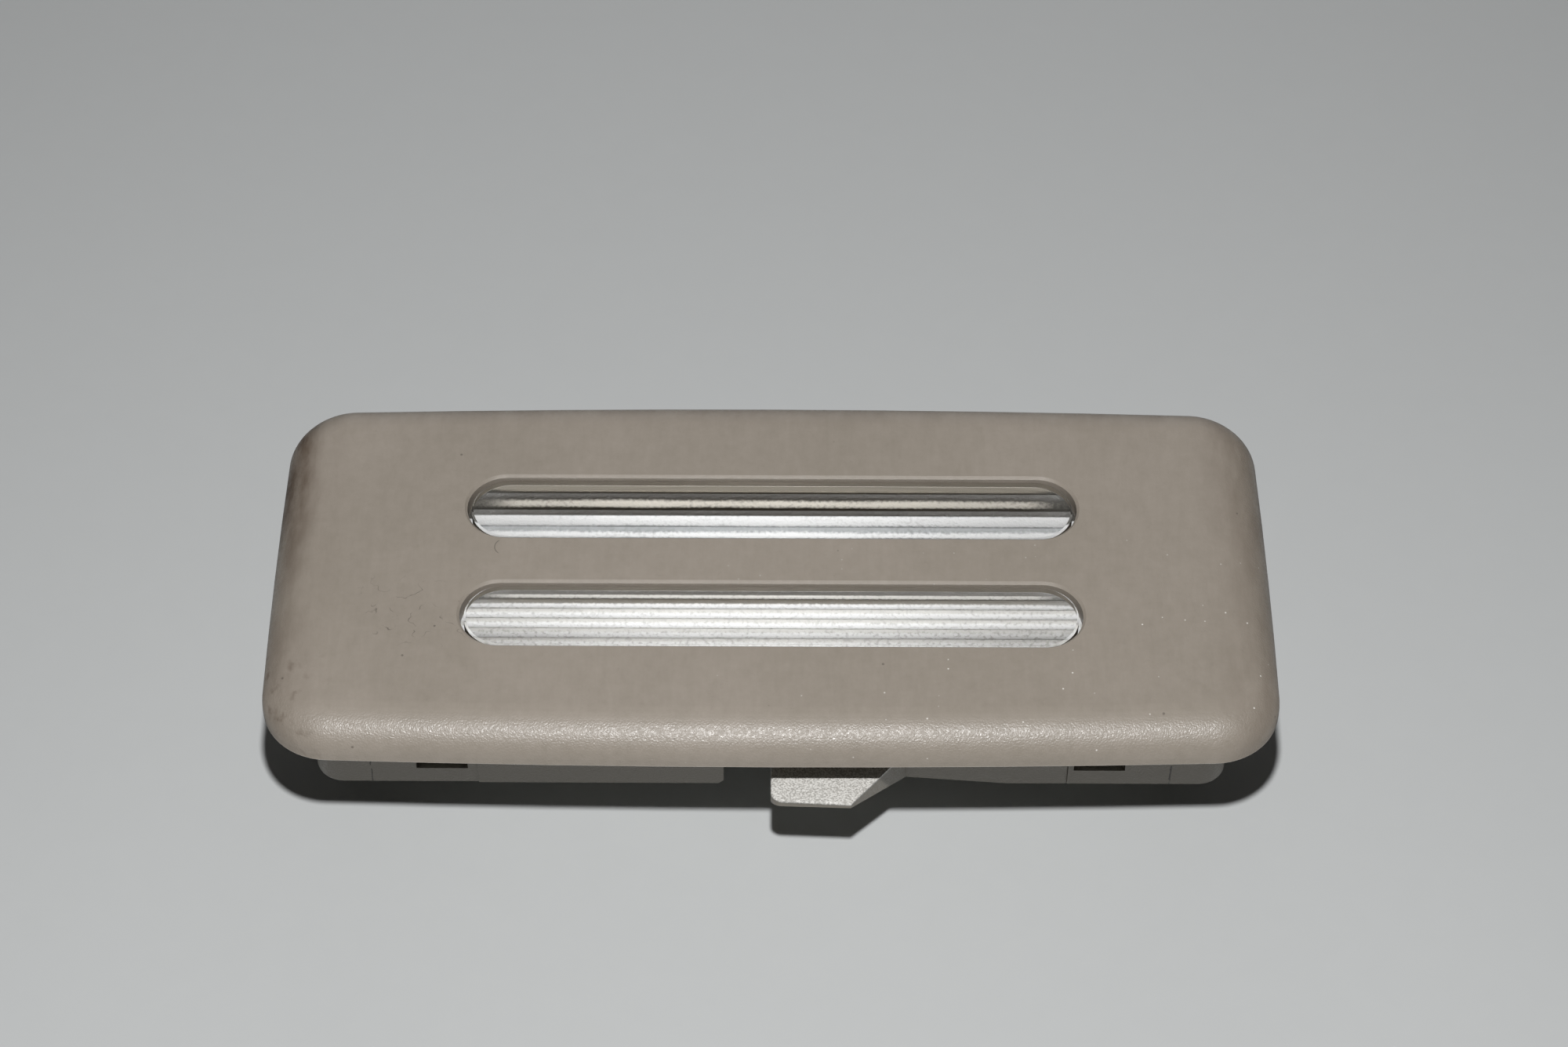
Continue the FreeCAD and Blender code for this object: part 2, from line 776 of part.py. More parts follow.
def make_stakes(piece, s, floor):
    """Pins through the contacts, with tapered heads formed over them."""
    pins = piece.draw("XY_Plane", floor)
    for place in stake_places(s):
        pins.circle(place, s.stake_radius)
    piece.pad(pins, s.contact_wall + s.stake_head_height / 2, reverse=True)
    heads = piece.draw("XY_Plane", floor - s.contact_wall)
    for place in stake_places(s):
        heads.circle(place, s.stake_head_radius)
    piece.feature("Pad", heads, Length=s.stake_head_height, Reversed=True, TaperAngle=-s.stake_taper)


def make_contact(doc, s, label, side, outline, stakes):
    """Stamped strip under the carrier with a leaf bent up against the bulb's cap."""
    piece = Piece(doc, label)
    floor = -s.carrier_depth
    strip = piece.draw("XY_Plane", floor)
    strip.loop(outline)
    piece.pad(strip, s.contact_wall, reverse=True)
    holes = piece.draw("XY_Plane", floor)
    for place in stakes:
        holes.circle(place, s.stake_radius + s.slip_clearance)
    piece.cut(holes, s.contact_wall)

    inner_face = s.bulb_length / 2 - s.leaf_setback
    half = s.leaf_width / 2
    leaf = piece.draw("YZ_Plane", side * inner_face)
    foot = floor - s.contact_wall
    leaf.loop(
        [(-half, foot), (half, foot), (half, -s.bulb_drop), (-half, -s.bulb_drop)],
    )
    crown = piece.draw("YZ_Plane", side * inner_face)
    crown.circle((ZERO, -s.bulb_drop), half)
    piece.pad(leaf, s.contact_wall, reverse=side < 0)
    piece.pad(crown, s.contact_wall, reverse=side < 0)
    # The cap's cone at the leaf's inner face, plus a slip clearance, is the hole that centres the bulb
    slope = (s.cap_diameter / 2 - s.cap_tip_radius) / s.cap_cone
    seat = s.cap_tip_radius + slope * s.leaf_setback + s.slip_clearance / 2
    hole = piece.draw("YZ_Plane", side * inner_face)
    hole.circle((ZERO, -s.bulb_drop), seat)
    piece.cut(hole, s.contact_wall, reverse=side > 0)

    def heel(edge):
        box = edge.BoundBox
        level = near(box.ZMin, foot.value) and near(box.ZMax, foot.value)
        return level and near(box.XMin, side * inner_face.value) and near(box.XMax, side * inner_face.value)

    piece.round(s.contact_bend, heel)
    return piece.body


def make_contacts(doc, s):
    """Left contact with its long run to the socket, and the short right contact."""
    inner_face = s.bulb_length / 2 - s.leaf_setback
    half = s.leaf_width / 2
    foot_end = inner_face + s.foot_length
    strip_in, strip_out = strip_sides(s)
    half_strip = s.strip_width / 2
    blade = s.blade_spacing / 2
    half_blade = s.blade_width / 2
    turn = s.stake_outer + half_strip
    left_outline = [
        (-inner_face, -half),
        (-inner_face, half),
        (half_strip - s.stake_outer, half),
        (half_strip - s.stake_outer, strip_in),
        (s.stake_outer - half_strip, strip_in),
        (s.stake_outer - half_strip, blade - half_blade),
        (s.blade_end, blade - half_blade),
        (s.blade_end, blade + half_blade),
        (turn, blade + half_blade),
        (turn, strip_out),
        (-turn, strip_out),
        (-turn, half),
        (-foot_end, half),
        (-foot_end, -half),
    ]
    waist = s.slot_length / 2
    right_outline = [
        (inner_face, half),
        (inner_face, -half),
        (waist, -half),
        (waist, -blade - half_blade),
        (s.blade_end, -blade - half_blade),
        (s.blade_end, half_blade - blade),
        (waist, half_blade - blade),
        (waist, half),
    ]
    places = stake_places(s)
    return [
        make_contact(doc, s, "contact_left", -1, left_outline, places[:2]),
        make_contact(doc, s, "contact_right", 1, right_outline, places[2:]),
    ]


def revolve(piece, drawing):
    """Turns a profile about the lamp's long axis."""
    piece.feature("Revolution", drawing, ReferenceAxis=(drawing.sketch, ["H_Axis"]), Angle=360.0)


def make_glass(doc, s):
    """Clear tubular envelope, drawn in over a shoulder to a neck at each end."""
    piece = Piece(doc, "bulb_glass")
    end = s.glass_length / 2
    body_radius = s.bulb_diameter / 2
    neck_radius = s.cap_diameter / 2 - s.cap_wall - s.cement_gap
    neck = end - s.neck_length
    shoulder = neck - s.shoulder_length
    outside = [
        (-end, neck_radius),
        (-neck, neck_radius),
        (-shoulder, body_radius),
        (shoulder, body_radius),
        (neck, neck_radius),
        (end, neck_radius),
    ]
    inside = [(x, r - s.glass_wall) for x, r in reversed(outside)]
    profile = piece.draw("XZ_Plane")
    profile.loop(outside + inside)
    revolve(piece, profile)
    piece.place(-s.bulb_drop)
    return piece.body


def make_cap(doc, s, label, side):
    """Metal end cap with a conical tip, filled with solder, cemented over the glass neck."""
    piece = Piece(doc, label)
    tip = s.bulb_length / 2
    mouth = tip - s.cap_length
    shoulder = tip - s.cap_cone
    radius = s.cap_diameter / 2
    bore = radius - s.cap_wall
    profile = piece.draw("XZ_Plane")
    profile.loop(
        [
            (side * mouth, bore),
            (side * mouth, radius),
            (side * shoulder, radius),
            (side * tip, s.cap_tip_radius),
            (side * tip, ZERO),
            (side * (shoulder - s.cap_wall), ZERO),
            (side * (shoulder - s.cap_wall), bore),
        ]
    )
    revolve(piece, profile)
    piece.place(-s.bulb_drop)
    return piece.body


def make_filament(doc, s):
    """Sagging filament wire from cap to cap."""
    piece = Piece(doc, "bulb_filament")
    end = s.bulb_length / 2 - s.cap_cone - s.cap_wall - s.cement_gap
    radius = (end * end + s.filament_sag * s.filament_sag) / (2 * s.filament_sag)
    path = piece.draw("XZ_Plane")
    path.loop([(-end, ZERO), (end, ZERO)], [(0, radius)], closed=False)
    wire = piece.draw("YZ_Plane", -end)
    wire.circle((ZERO, ZERO), s.filament_radius)
    piece.feature("AdditivePipe", wire, Spine=path.sketch)
    piece.place(-s.bulb_drop)
    return piece.body


def main():
    """Builds every piece, checks it and writes one file each."""
    doc = FreeCAD.newDocument("headlining_lamp")
    s = Sizes(doc)
    bodies = [make_cover(doc, s), make_latch(doc, s), make_lens(doc, s), make_carrier(doc, s)]
    bodies += make_contacts(doc, s)
    bodies += [make_glass(doc, s), make_filament(doc, s)]
    bodies += [make_cap(doc, s, "bulb_cap_left", -1), make_cap(doc, s, "bulb_cap_right", 1)]
    doc.recompute()
    for item in doc.Objects:
        if {"Invalid", "Error"} & set(item.State):
            raise RuntimeError(f"{item.Label} failed: {item.State}")
    os.makedirs("parts", exist_ok=True)
    for body in bodies:
        shape = body.Shape
        if shape.isNull() or not shape.isValid() or len(shape.Solids) != 1:
            raise RuntimeError(f"{body.Label} is not one sound solid")
        shape.exportStep(f"parts/{body.Label}.step")


main()
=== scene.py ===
"""Looks of a headlining courtesy lamp: each piece's finish, the bulb's glass and coil, table and light.

Metres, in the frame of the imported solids: the rim's seating plane is z = 0 and the face looks up.
Finishes are written in millimetres.
"""
import logging
import math
from dataclasses import dataclass
from enum import Enum
from typing import Any

import bmesh
import bpy
import numpy as np
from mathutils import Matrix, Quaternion, Vector


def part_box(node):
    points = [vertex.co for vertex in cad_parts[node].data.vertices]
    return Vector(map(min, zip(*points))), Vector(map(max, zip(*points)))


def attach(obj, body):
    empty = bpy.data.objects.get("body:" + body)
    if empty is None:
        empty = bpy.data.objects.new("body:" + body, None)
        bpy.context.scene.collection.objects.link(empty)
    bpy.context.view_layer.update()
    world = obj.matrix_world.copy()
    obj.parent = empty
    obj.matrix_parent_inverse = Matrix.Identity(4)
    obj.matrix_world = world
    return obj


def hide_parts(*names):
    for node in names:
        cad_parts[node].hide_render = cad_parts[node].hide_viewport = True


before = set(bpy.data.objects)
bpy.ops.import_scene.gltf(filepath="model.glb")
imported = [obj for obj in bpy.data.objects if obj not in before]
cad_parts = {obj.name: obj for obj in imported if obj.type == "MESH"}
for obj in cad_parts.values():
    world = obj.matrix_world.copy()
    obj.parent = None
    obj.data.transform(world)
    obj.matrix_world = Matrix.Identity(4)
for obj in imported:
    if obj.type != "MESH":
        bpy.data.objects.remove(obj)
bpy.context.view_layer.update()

MM = 0.001
WELD_DISTANCE = 1e-4 * MM
HOUSING = "housing"
Colour = tuple[float, float, float, float]
Point = tuple[float, float, float]
# A ramp holds the number at which a smooth step is 0 and the number at which it is 1.
Ramp = tuple[float, float]
log = logging.getLogger("lamp")


class Slot(Enum):
    """Finishes of the record that the new pieces stand for."""

    GLASS = "bulb_clear"
    WIRE = "filament_wire"


class End(Enum):
    """The two ends of the lamp, as the sign of x."""

    LEFT = -1
    RIGHT = 1


class Outline(Enum):
    """Outlines of the flat lights."""

    DISK = "DISK"
    SQUARE = "SQUARE"


def tint(red: int, green: int, blue: int) -> Colour:
    """Turns a colour written as three display values from 0 to 255 into linear light, by the sRGB curve.

    Args:
        red: Red display value.
        green: Green display value.
        blue: Blue display value.

    Returns:
        The colour in linear light, with full alpha.
    """
    shown = np.array([red, green, blue]) / 255.0
    light = np.where(shown <= 0.04045, shown / 12.92, ((shown + 0.055) / 1.055) ** 2.4)
    return (*light.tolist(), 1.0)


class Value:
    """A number that varies over a surface, written with Python operators.

    Each operator adds a Math node, with another Value or a plain number on the other side.
    """

    def __init__(self, shader: "Shader", socket: bpy.types.NodeSocket) -> None:
        """Keeps the socket and the shader it belongs to."""
        self.shader = shader
        self.socket = socket

    def __add__(self, other: "Value | float") -> "Value":
        """Adds."""
        return self.shader.math("ADD", self, other)

    def __radd__(self, other: float) -> "Value":
        """Adds, with the number first."""
        return self.shader.math("ADD", other, self)

    def __sub__(self, other: "Value | float") -> "Value":
        """Takes away."""
        return self.shader.math("SUBTRACT", self, other)

    def __rsub__(self, other: float) -> "Value":
        """Takes this away from a number."""
        return self.shader.math("SUBTRACT", other, self)

    def __mul__(self, other: "Value | float") -> "Value":
        """Multiplies."""
        return self.shader.math("MULTIPLY", self, other)

    def __rmul__(self, other: float) -> "Value":
        """Multiplies, with the number first."""
        return self.shader.math("MULTIPLY", other, self)

    def __truediv__(self, other: "Value | float") -> "Value":
        """Divides."""
        return self.shader.math("DIVIDE", self, other)

    def __rtruediv__(self, other: float) -> "Value":
        """Divides a number by this."""
        return self.shader.math("DIVIDE", other, self)

    def __pow__(self, other: "Value | float") -> "Value":
        """Raises to a power."""
        return self.shader.math("POWER", self, other)

    def __rpow__(self, other: float) -> "Value":
        """Raises a number to this power."""
        return self.shader.math("POWER", other, self)

    def __abs__(self) -> "Value":
        """Drops the sign."""
        return self.shader.math("ABSOLUTE", self)

    def at_least(self, other: float) -> "Value":
        """Returns the larger of this and a number."""
        return self.shader.math("MAXIMUM", self, other)

    def step(self, low: float, high: float) -> "Value":
        """Rises smoothly from 0 at low to 1 at high, or falls where low is the larger.

        Args:
            low: Number at which the result is 0.
            high: Number at which the result is 1.

        Returns:
            The smooth step.
        """
        settings = {"interpolation_type": "SMOOTHSTEP"}
        made = self.shader.node("ShaderNodeMapRange", settings, {0: self, 1: low, 2: high})
        return Value(self.shader, made.outputs[0])


@dataclass(frozen=True)
class Clouds:
    """A cloudy noise.

    Its fields are the size of a cloud in millimetres, the octaves of finer clouds, the weight of each
    finer octave, and the factors by which x, y and z are scaled first, where they are.
    """

    size: float
    detail: float
    rough: float = 0.5
    scaled: Point | None = None


@dataclass(frozen=True)
class Specks:
    """Round specks strewn over a surface.

    Its fields are the spacing of the places where a speck may lie and its radius, in millimetres, the share
    of those places that hold one, the part of the radius over which a speck is full, and the width of the
    step in chance between places with and without one.
    """

    spacing: float
    radius: float
    share: float
    core: float = 0.5
    chance_step: float = 0.01


class Shader:
    """One material's node tree, with a principled surface at its end."""

    # A Mix node's sockets have the same names for every data type, so the ones for colours go by number.
    MIX_SHARE = 0
    MIX_FIRST = 6
    MIX_SECOND = 7
    MIX_RESULT = 2

    def __init__(self, name: str) -> None:
        """Makes the material with an empty tree and its coordinates in metres.

        Args:
            name: Name of the material.
        """
        self.material = bpy.data.materials.new(name)
        self.material.use_nodes = True
        self.tree = self.material.node_tree
        self.tree.nodes.clear()
        self.place = self.node("ShaderNodeTexCoord").outputs["Object"]

    def node(
        self, kind: str, settings: dict[str, Any] | None = None, sockets: dict[Any, Any] | None = None
    ) -> bpy.types.Node:
        """Adds a node, sets its settings and then fills its sockets.

        Args:
            kind: The node's type.
            settings: Settings by name.
            sockets: Values, Value objects or sockets to link, by input name or number.

        Returns:
            The node.
        """
        made = self.tree.nodes.new(kind)
        for key, setting in (settings or {}).items():
            setattr(made, key, setting)
        for key, given in (sockets or {}).items():
            source = given.socket if isinstance(given, Value) else given
            if isinstance(source, bpy.types.NodeSocket):
                self.tree.links.new(source, made.inputs[key])
            else:
                made.inputs[key].default_value = source
        return made

    def math(self, operation: str, *terms: Value | float) -> Value:
        """Adds a Math node on Values and numbers and returns its result."""
        made = self.node("ShaderNodeMath", {"operation": operation}, dict(enumerate(terms)))
        return Value(self, made.outputs[0])

    def axes(self) -> tuple[Value, Value, Value]:
        """Splits the Object coordinates.

        Returns:
            The places along x, y and z in millimetres.
        """
        split = self.node("ShaderNodeSeparateXYZ", None, {0: self.place})
        x, y, z = (Value(self, out) for out in split.outputs)
        return x / MM, y / MM, z / MM

    def scaled(self, factors: Point) -> bpy.types.NodeSocket:
        """Returns the Object coordinates times a factor along each axis."""
        made = self.node("ShaderNodeMapping", None, {"Vector": self.place, "Scale": factors})
        return made.outputs[0]

    def noise(self, clouds: Clouds) -> Value:
        """Makes cloudy noise.

        Args:
            clouds: Its size, octaves and scaling.

        Returns:
            The noise from 0 to 1.
        """
        sockets = {
            "Vector": self.scaled(clouds.scaled) if clouds.scaled else self.place,
            "Scale": 1 / (clouds.size * MM),
            "Detail": clouds.detail,
            "Roughness": clouds.rough,
        }
        return Value(self, self.node("ShaderNodeTexNoise", None, sockets).outputs[0])

    def cells(self, size: float) -> tuple[Value, Value]:
        """Scatters cells.

        Args:
            size: Spacing of the cells in millimetres.

        Returns:
            The distance from the nearest cell's point, in cells, and a random number for that cell.
        """
        sockets = {"Vector": self.place, "Scale": 1 / (size * MM)}
        made = self.node("ShaderNodeTexVoronoi", None, sockets)
        split = self.node("ShaderNodeSeparateColor", None, {0: made.outputs["Color"]})
        return Value(self, made.outputs["Distance"]), Value(self, split.outputs[0])

    def specks(self, specks: Specks) -> Value:
        """Strews round specks.

        Args:
            specks: Their spacing, size and share.

        Returns:
            1 on a speck and 0 between them.
        """
        distance, chance = self.cells(specks.spacing)
        edge = specks.radius / specks.spacing
        bare = 1 - specks.share
        return distance.step(edge, edge * specks.core) * chance.step(bare, bare + specks.chance_step)

    def mix(self, share: Value | float, first: Any, second: Any) -> bpy.types.NodeSocket:
        """Blends two colours, the second by its share."""
        sockets = {self.MIX_SHARE: share, self.MIX_FIRST: first, self.MIX_SECOND: second}
        return self.node("ShaderNodeMix", {"data_type": "RGBA"}, sockets).outputs[self.MIX_RESULT]

    def bump(self, height: Value, depth: float) -> bpy.types.NodeSocket:
        """Turns a height into a normal.

        Args:
            height: Height over the surface.
            depth: Real height in millimetres that 1 stands for.

        Returns:
            The normal.
        """
        sockets = {"Height": height, "Distance": depth * MM, "Strength": 1.0}
        return self.node("ShaderNodeBump", None, sockets).outputs[0]

    def principled(self, **sockets: Any) -> bpy.types.NodeSocket:
        """Adds a principled surface, its inputs named with underscores for spaces."""
        named = {key.replace("_", " "): given for key, given in sockets.items()}
        return self.node("ShaderNodeBsdfPrincipled", None, named).outputs[0]

    def blend(self, share: Value, first: Any, second: Any) -> bpy.types.NodeSocket:
        """Blends two surfaces, the second by its share."""
        return self.node("ShaderNodeMixShader", None, {0: share, 1: first, 2: second}).outputs[0]

    def finish(self, surface: bpy.types.NodeSocket) -> bpy.types.Material:
        """Ends the tree in a surface and returns the material."""
        self.node("ShaderNodeOutputMaterial", None, {"Surface": surface})
        return self.material


@dataclass(frozen=True)
class DirtAndEdgeShade:
    """Streaky darkening of the face towards its edges. Down the left edge it is brown handling dirt,
    strongest at its far corner, with smudges low on the left. Towards the right edge it is dirt and painted
    shade, and at the far edge it is painted shade, where the rim turns away from the key light.

    A ramp says where the darkening of an edge or a corner starts and where it is full, and a share how
    strong it is there.
    """

    streaks: Clouds = Clouds(3.4, 4.0, 0.6, (1.5, 0.45, 1.0))
    streak_ramp: Ramp = (0.3, 0.68)
    streak_share: float = 0.65
    wide_edge: Ramp = (-41.0, -46.8)
    wide_share: float = 0.22
    left_edge: Ramp = (-44.2, -47.8)
    left_share: float = 0.2
    left_corner: Ramp = (-6.0, 12.0)
    left_corner_share: float = 0.8
    right_edge: Ramp = (41.0, 48.4)
    right_share: float = 0.38
    right_corner: Ramp = (-4.0, 14.0)
    right_corner_share: float = 0.2
    far_shade_edge: Ramp = (16.5, 21.6)
    far_shade_share: float = 0.4
    smudges: Clouds = Clouds(1.6, 3.0)
    smudge_ramp: Ramp = (0.55, 0.75)
    smudge_edge: Ramp = (-40.5, -45.0)
    smudge_corner: Ramp = (-9.0, -15.0)
    smudge_share: float = 0.45

    def on(self, shader: Shader, x: Value, y: Value) -> Value:
        """Lays the dirt and the painted edge shade on the face.

        Args:
            shader: Shader of the plastic.
            x: Place along the lamp in millimetres.
            y: Place across the lamp in millimetres.

        Returns:
            The darkening from 0 to 1.
        """
        streaks = shader.noise(self.streaks).step(*self.streak_ramp)
        wide = x.step(*self.wide_edge) * self.wide_share
        left_strength = self.left_share + y.step(*self.left_corner) * self.left_corner_share
        left = x.step(*self.left_edge) * left_strength
        # Towards the right edge the darkening is dirt and painted shade.
        right_strength = self.right_share + y.step(*self.right_corner) * self.right_corner_share
        right = x.step(*self.right_edge) * right_strength
        # Painted shade: the far rim is darker, where it turns away from the key light.
        far = y.step(*self.far_shade_edge) * self.far_shade_share
        low_left = x.step(*self.smudge_edge) * y.step(*self.smudge_corner)
        smudge = shader.noise(self.smudges).step(*self.smudge_ramp) * low_left
        streaky = 1 - self.streak_share + streaks * self.streak_share
        return (left + wide + right + far) * streaky + smudge * self.smudge_share


@dataclass(frozen=True)
class Scuffs:
    """Fine dark marks on the face: specks, hair-thin lines and one short hair.

    The lines lie where a cloudy noise crosses its middle, and are thickest on a patch left of the near
    window. The hair, below the far window's left end, is the left part of a ring.
    """

    specks: Specks = Specks(2.2, 0.17, 0.2)
    lines: Clouds = Clouds(3.6, 3.0)
    line_ramp: Ramp = (0.008, 0.002)
    breaks: Clouds = Clouds(1.1, 1.0)
    break_ramp: Ramp = (0.45, 0.6)
    patch_centre: tuple[float, float] = (-34.5, -6.5)
    patch_length: Ramp = (7.0, 3.0)
    patch_width: Ramp = (5.0, 2.0)
    outside_patch: float = 0.08
    hair_centre: tuple[float, float] = (-26.2, 1.5)
    hair_radius: float = 1.0
    hair_ramp: Ramp = (0.07, 0.03)
    hair_part: Ramp = (-0.5, -0.7)

    def hair(self, x: Value, y: Value) -> Value:
        """Lays the hair.

        Args:
            x: Place along the lamp in millimetres.
            y: Place across the lamp in millimetres.

        Returns:
            1 on the hair and 0 elsewhere.
        """
        across = x - self.hair_centre[0]
        up = y - self.hair_centre[1]
        ring = abs((across * across + up * up) ** 0.5 - self.hair_radius)
        return ring.step(*self.hair_ramp) * across.step(*self.hair_part)

    def on(self, shader: Shader, x: Value, y: Value) -> Value:
        """Marks the face.

        Args:
            shader: Shader of the plastic.
            x: Place along the lamp in millimetres.
            y: Place across the lamp in millimetres.

        Returns:
            The marks from 0 to 1.
        """
        lines = abs(shader.noise(self.lines) - 0.5).step(*self.line_ramp)
        along = abs(x - self.patch_centre[0]).step(*self.patch_length)
        patch = along * abs(y - self.patch_centre[1]).step(*self.patch_width)
        broken = shader.noise(self.breaks).step(*self.break_ramp)
        worn = lines * (self.outside_patch + patch) * broken
        return shader.specks(self.specks) + (worn + self.hair(x, y))


@dataclass(frozen=True)
class WeldLines:
    """Two broken hairlines down the skirt's near wall, as far from the middle each way."""

    from_middle: float = 38.9
    line_ramp: Ramp = (0.09, 0.045)
    wander: Clouds = Clouds(1.2, 2.0)
    wander_width: float = 0.4
    breaks: Clouds = Clouds(0.9, 1.0)
    break_ramp: Ramp = (0.36, 0.44)
    wall: Ramp = (-16.6, -16.7)
    below_rim: Ramp = (-1.0, -1.2)

    def on(self, shader: Shader, x: Value, y: Value, z: Value) -> Value:
        """Draws the lines.

        Args:
            shader: Shader of the plastic.
            x: Place along the lamp in millimetres.
            y: Place across the lamp in millimetres.
            z: Height in millimetres.

        Returns:
            The lines from 0 to 1.
        """
        wander = (shader.noise(self.wander) - 0.5) * self.wander_width
        line = abs(abs(x + wander) - self.from_middle).step(*self.line_ramp)
        broken = shader.noise(self.breaks).step(*self.break_ramp)
        return line * broken * y.step(*self.wall) * z.step(*self.below_rim)


@dataclass(frozen=True)
class GrainedPlastic:
    """Moulded plastic: worn smooth on the face and grained on the bullnose. Below the seat it takes a
    darker colour, painted shade, and the tab's top a pale colour, a painted highlight with darker grains.

    The near bullnose is a little fuller than its arc: its relief rises as the face falls away. A depth is
    that of the grain's relief in millimetres, and a share says how far one colour covers another.
    """

    face: Colour = tint(154, 145, 135)
    shade: Colour = tint(138, 130, 119)
    # Painted shade: the skirt and all below the seat are darker than the face, though of the same plastic.
    skirt: Colour = tint(130, 124, 114)
    # Painted highlight: the tab's top is pale, standing in for the key light's reflection, with darker
    # grains as sparkle.
    painted_tab_highlight: Colour = tint(220, 218, 213)
    painted_tab_sparkle_dark: Colour = tint(130, 126, 119)
    # Brown of the dirt, also the colour of the painted shade at the right and far edges.
    dirt: Colour = tint(82, 67, 53)
    speck: Colour = tint(58, 52, 46)
    # Painted glints: bright specks in the colour, standing in for sparkles of the key light.
    glint: Colour = tint(240, 238, 232)
    edge_dirt_and_shade: DirtAndEdgeShade = DirtAndEdgeShade()
    edge_dirt_and_shade_share: float = 0.85
    scuffs: Scuffs = Scuffs()
    scuff_share: float = 0.5
    weld_lines: WeldLines = WeldLines()
    weld_share: float = 0.9
    glints: Specks = Specks(1.0, 0.11, 0.25)
    glint_right: Ramp = (-20.0, 25.0)
    glint_near: Ramp = (8.0, -8.0)
    glint_share: float = 0.7
    clouds: Clouds = Clouds(16.0, 3.0)
    cloud_ramp: Ramp = (0.3, 0.7)
    cloud_share: float = 0.3
    rubbed: Clouds = Clouds(0.7, 3.0, 0.6, (1.0, 0.2, 1.0))
    rubbed_share: float = 0.6
    mottle: Clouds = Clouds(1.3, 3.0, 0.65)
    mottle_share: float = 0.8
    grain: Clouds = Clouds(0.18, 1.0)
    face_depth: float = 0.012
    nose_depth: float = 0.048
    tab_depth: float = 0.12
    tab_sparkle_ramp: Ramp = (0.3, 0.7)
    tab_sparkle_share: float = 0.65
    pebble: Clouds = Clouds(0.28, 1.0)
    pebble_ramp: Ramp = (0.3, 0.7)
    pebble_middle: float = 0.6
    roughness: float = 0.4
    edge_dirt_and_shade_roughness: float = 0.15
    rubbed_roughness: float = 0.06
    pebble_roughness: float = 0.17
    seat: float = 0.0
    behind_seat: Ramp = (0.1, -0.1)
    face_level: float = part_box("cover")[1].z / MM
    nose_ramp: Ramp = (4.5, 3.9)
    nose_fullness: float = 0.3
    near_half: Ramp = (0.0, -18.0)
    tab_top: Ramp = (-4.3, -4.1)
    tab_root: Ramp = (-17.25, -17.35)

    def worn_face(
        self, shader: Shader, x: Value, y: Value, rubbed: Value, edge_dirt_and_shade: Value
    ) -> bpy.types.NodeSocket:
        """Paints the face: cloudy and rubbed, with dirt and painted edge shade, dark marks and, near the
        right end, painted glints.

        Args:
            shader: Shader of the plastic.
            x: Place along the lamp in millimetres.
            y: Place across the lamp in millimetres.
            rubbed: Rubbed streaks from 0 to 1.
            edge_dirt_and_shade: Dirt and painted edge shade from 0 to 1.

        Returns:
            The colour.
        """
        clouds = shader.noise(self.clouds).step(*self.cloud_ramp)
        mottle = shader.noise(self.mottle)
        share = 0.5 + (clouds - 0.5) * self.cloud_share + (rubbed - 0.5) * self.rubbed_share
        share = share + (mottle - 0.5) * self.mottle_share
        # Painted glints near the right end.
        glints = shader.specks(self.glints) * x.step(*self.glint_right) * y.step(*self.glint_near)
        colour = shader.mix(share, self.face, self.shade)
        # Dirt, and painted shade at the right and far edges.
        colour = shader.mix(edge_dirt_and_shade * self.edge_dirt_and_shade_share, colour, self.dirt)
        colour = shader.mix(self.scuffs.on(shader, x, y) * self.scuff_share, colour, self.speck)
        return shader.mix(glints * self.glint_share, colour, self.glint)

    def material(self) -> bpy.types.Material:
        """Makes the finish.

        Returns:
            The material.
        """
        shader = Shader("grained_plastic")
        x, y, z = shader.axes()
        rubbed = shader.noise(self.rubbed)
        grain = shader.noise(self.grain)
        pebble = shader.noise(self.pebble).step(*self.pebble_ramp)
        edge_dirt_and_shade = self.edge_dirt_and_shade.on(shader, x, y)
        face = self.worn_face(shader, x, y, rubbed, edge_dirt_and_shade)
        weld_lines = self.weld_lines.on(shader, x, y, z)
        skirt = shader.mix(weld_lines * self.weld_share, self.skirt, self.speck)
        # Painted highlight on the tab, broken by darker grains into sparkle.
        tab_sparkle = grain.step(*self.tab_sparkle_ramp) * self.tab_sparkle_share
        painted_tab_highlight = shader.mix(tab_sparkle, self.painted_tab_highlight, self.painted_tab_sparkle_dark)
        behind = z.step(*self.behind_seat)
        tab = behind * z.step(*self.tab_top) * y.step(*self.tab_root)
        nose = z.step(*self.nose_ramp)
        depth = self.face_depth + nose * (self.nose_depth - self.face_depth)
        depth = depth + tab * (self.tab_depth - self.nose_depth)
        fall = (self.face_level - z.at_least(self.seat)) * y.step(*self.near_half)
        roughness = self.roughness + edge_dirt_and_shade * self.edge_dirt_and_shade_roughness + rubbed * self.rubbed_roughness
        surface = shader.principled(
            # Below the seat the colour is the skirt's painted shade, and on the tab the painted highlight.
            Base_Color=shader.mix(tab, shader.mix(behind, face, skirt), painted_tab_highlight),
            Roughness=roughness + nose * (pebble - self.pebble_middle) * self.pebble_roughness,
            Normal=shader.bump(grain * depth + fall * self.nose_fullness, 1.0),
        )
        return shader.finish(surface)


@dataclass(frozen=True)
class PaintedLightBands:
    """Painted light and shade bands of a stretch of flutes, and the part of the wave over which they blend.
    """

    hollow: Colour
    crest: Colour
    blend: Ramp


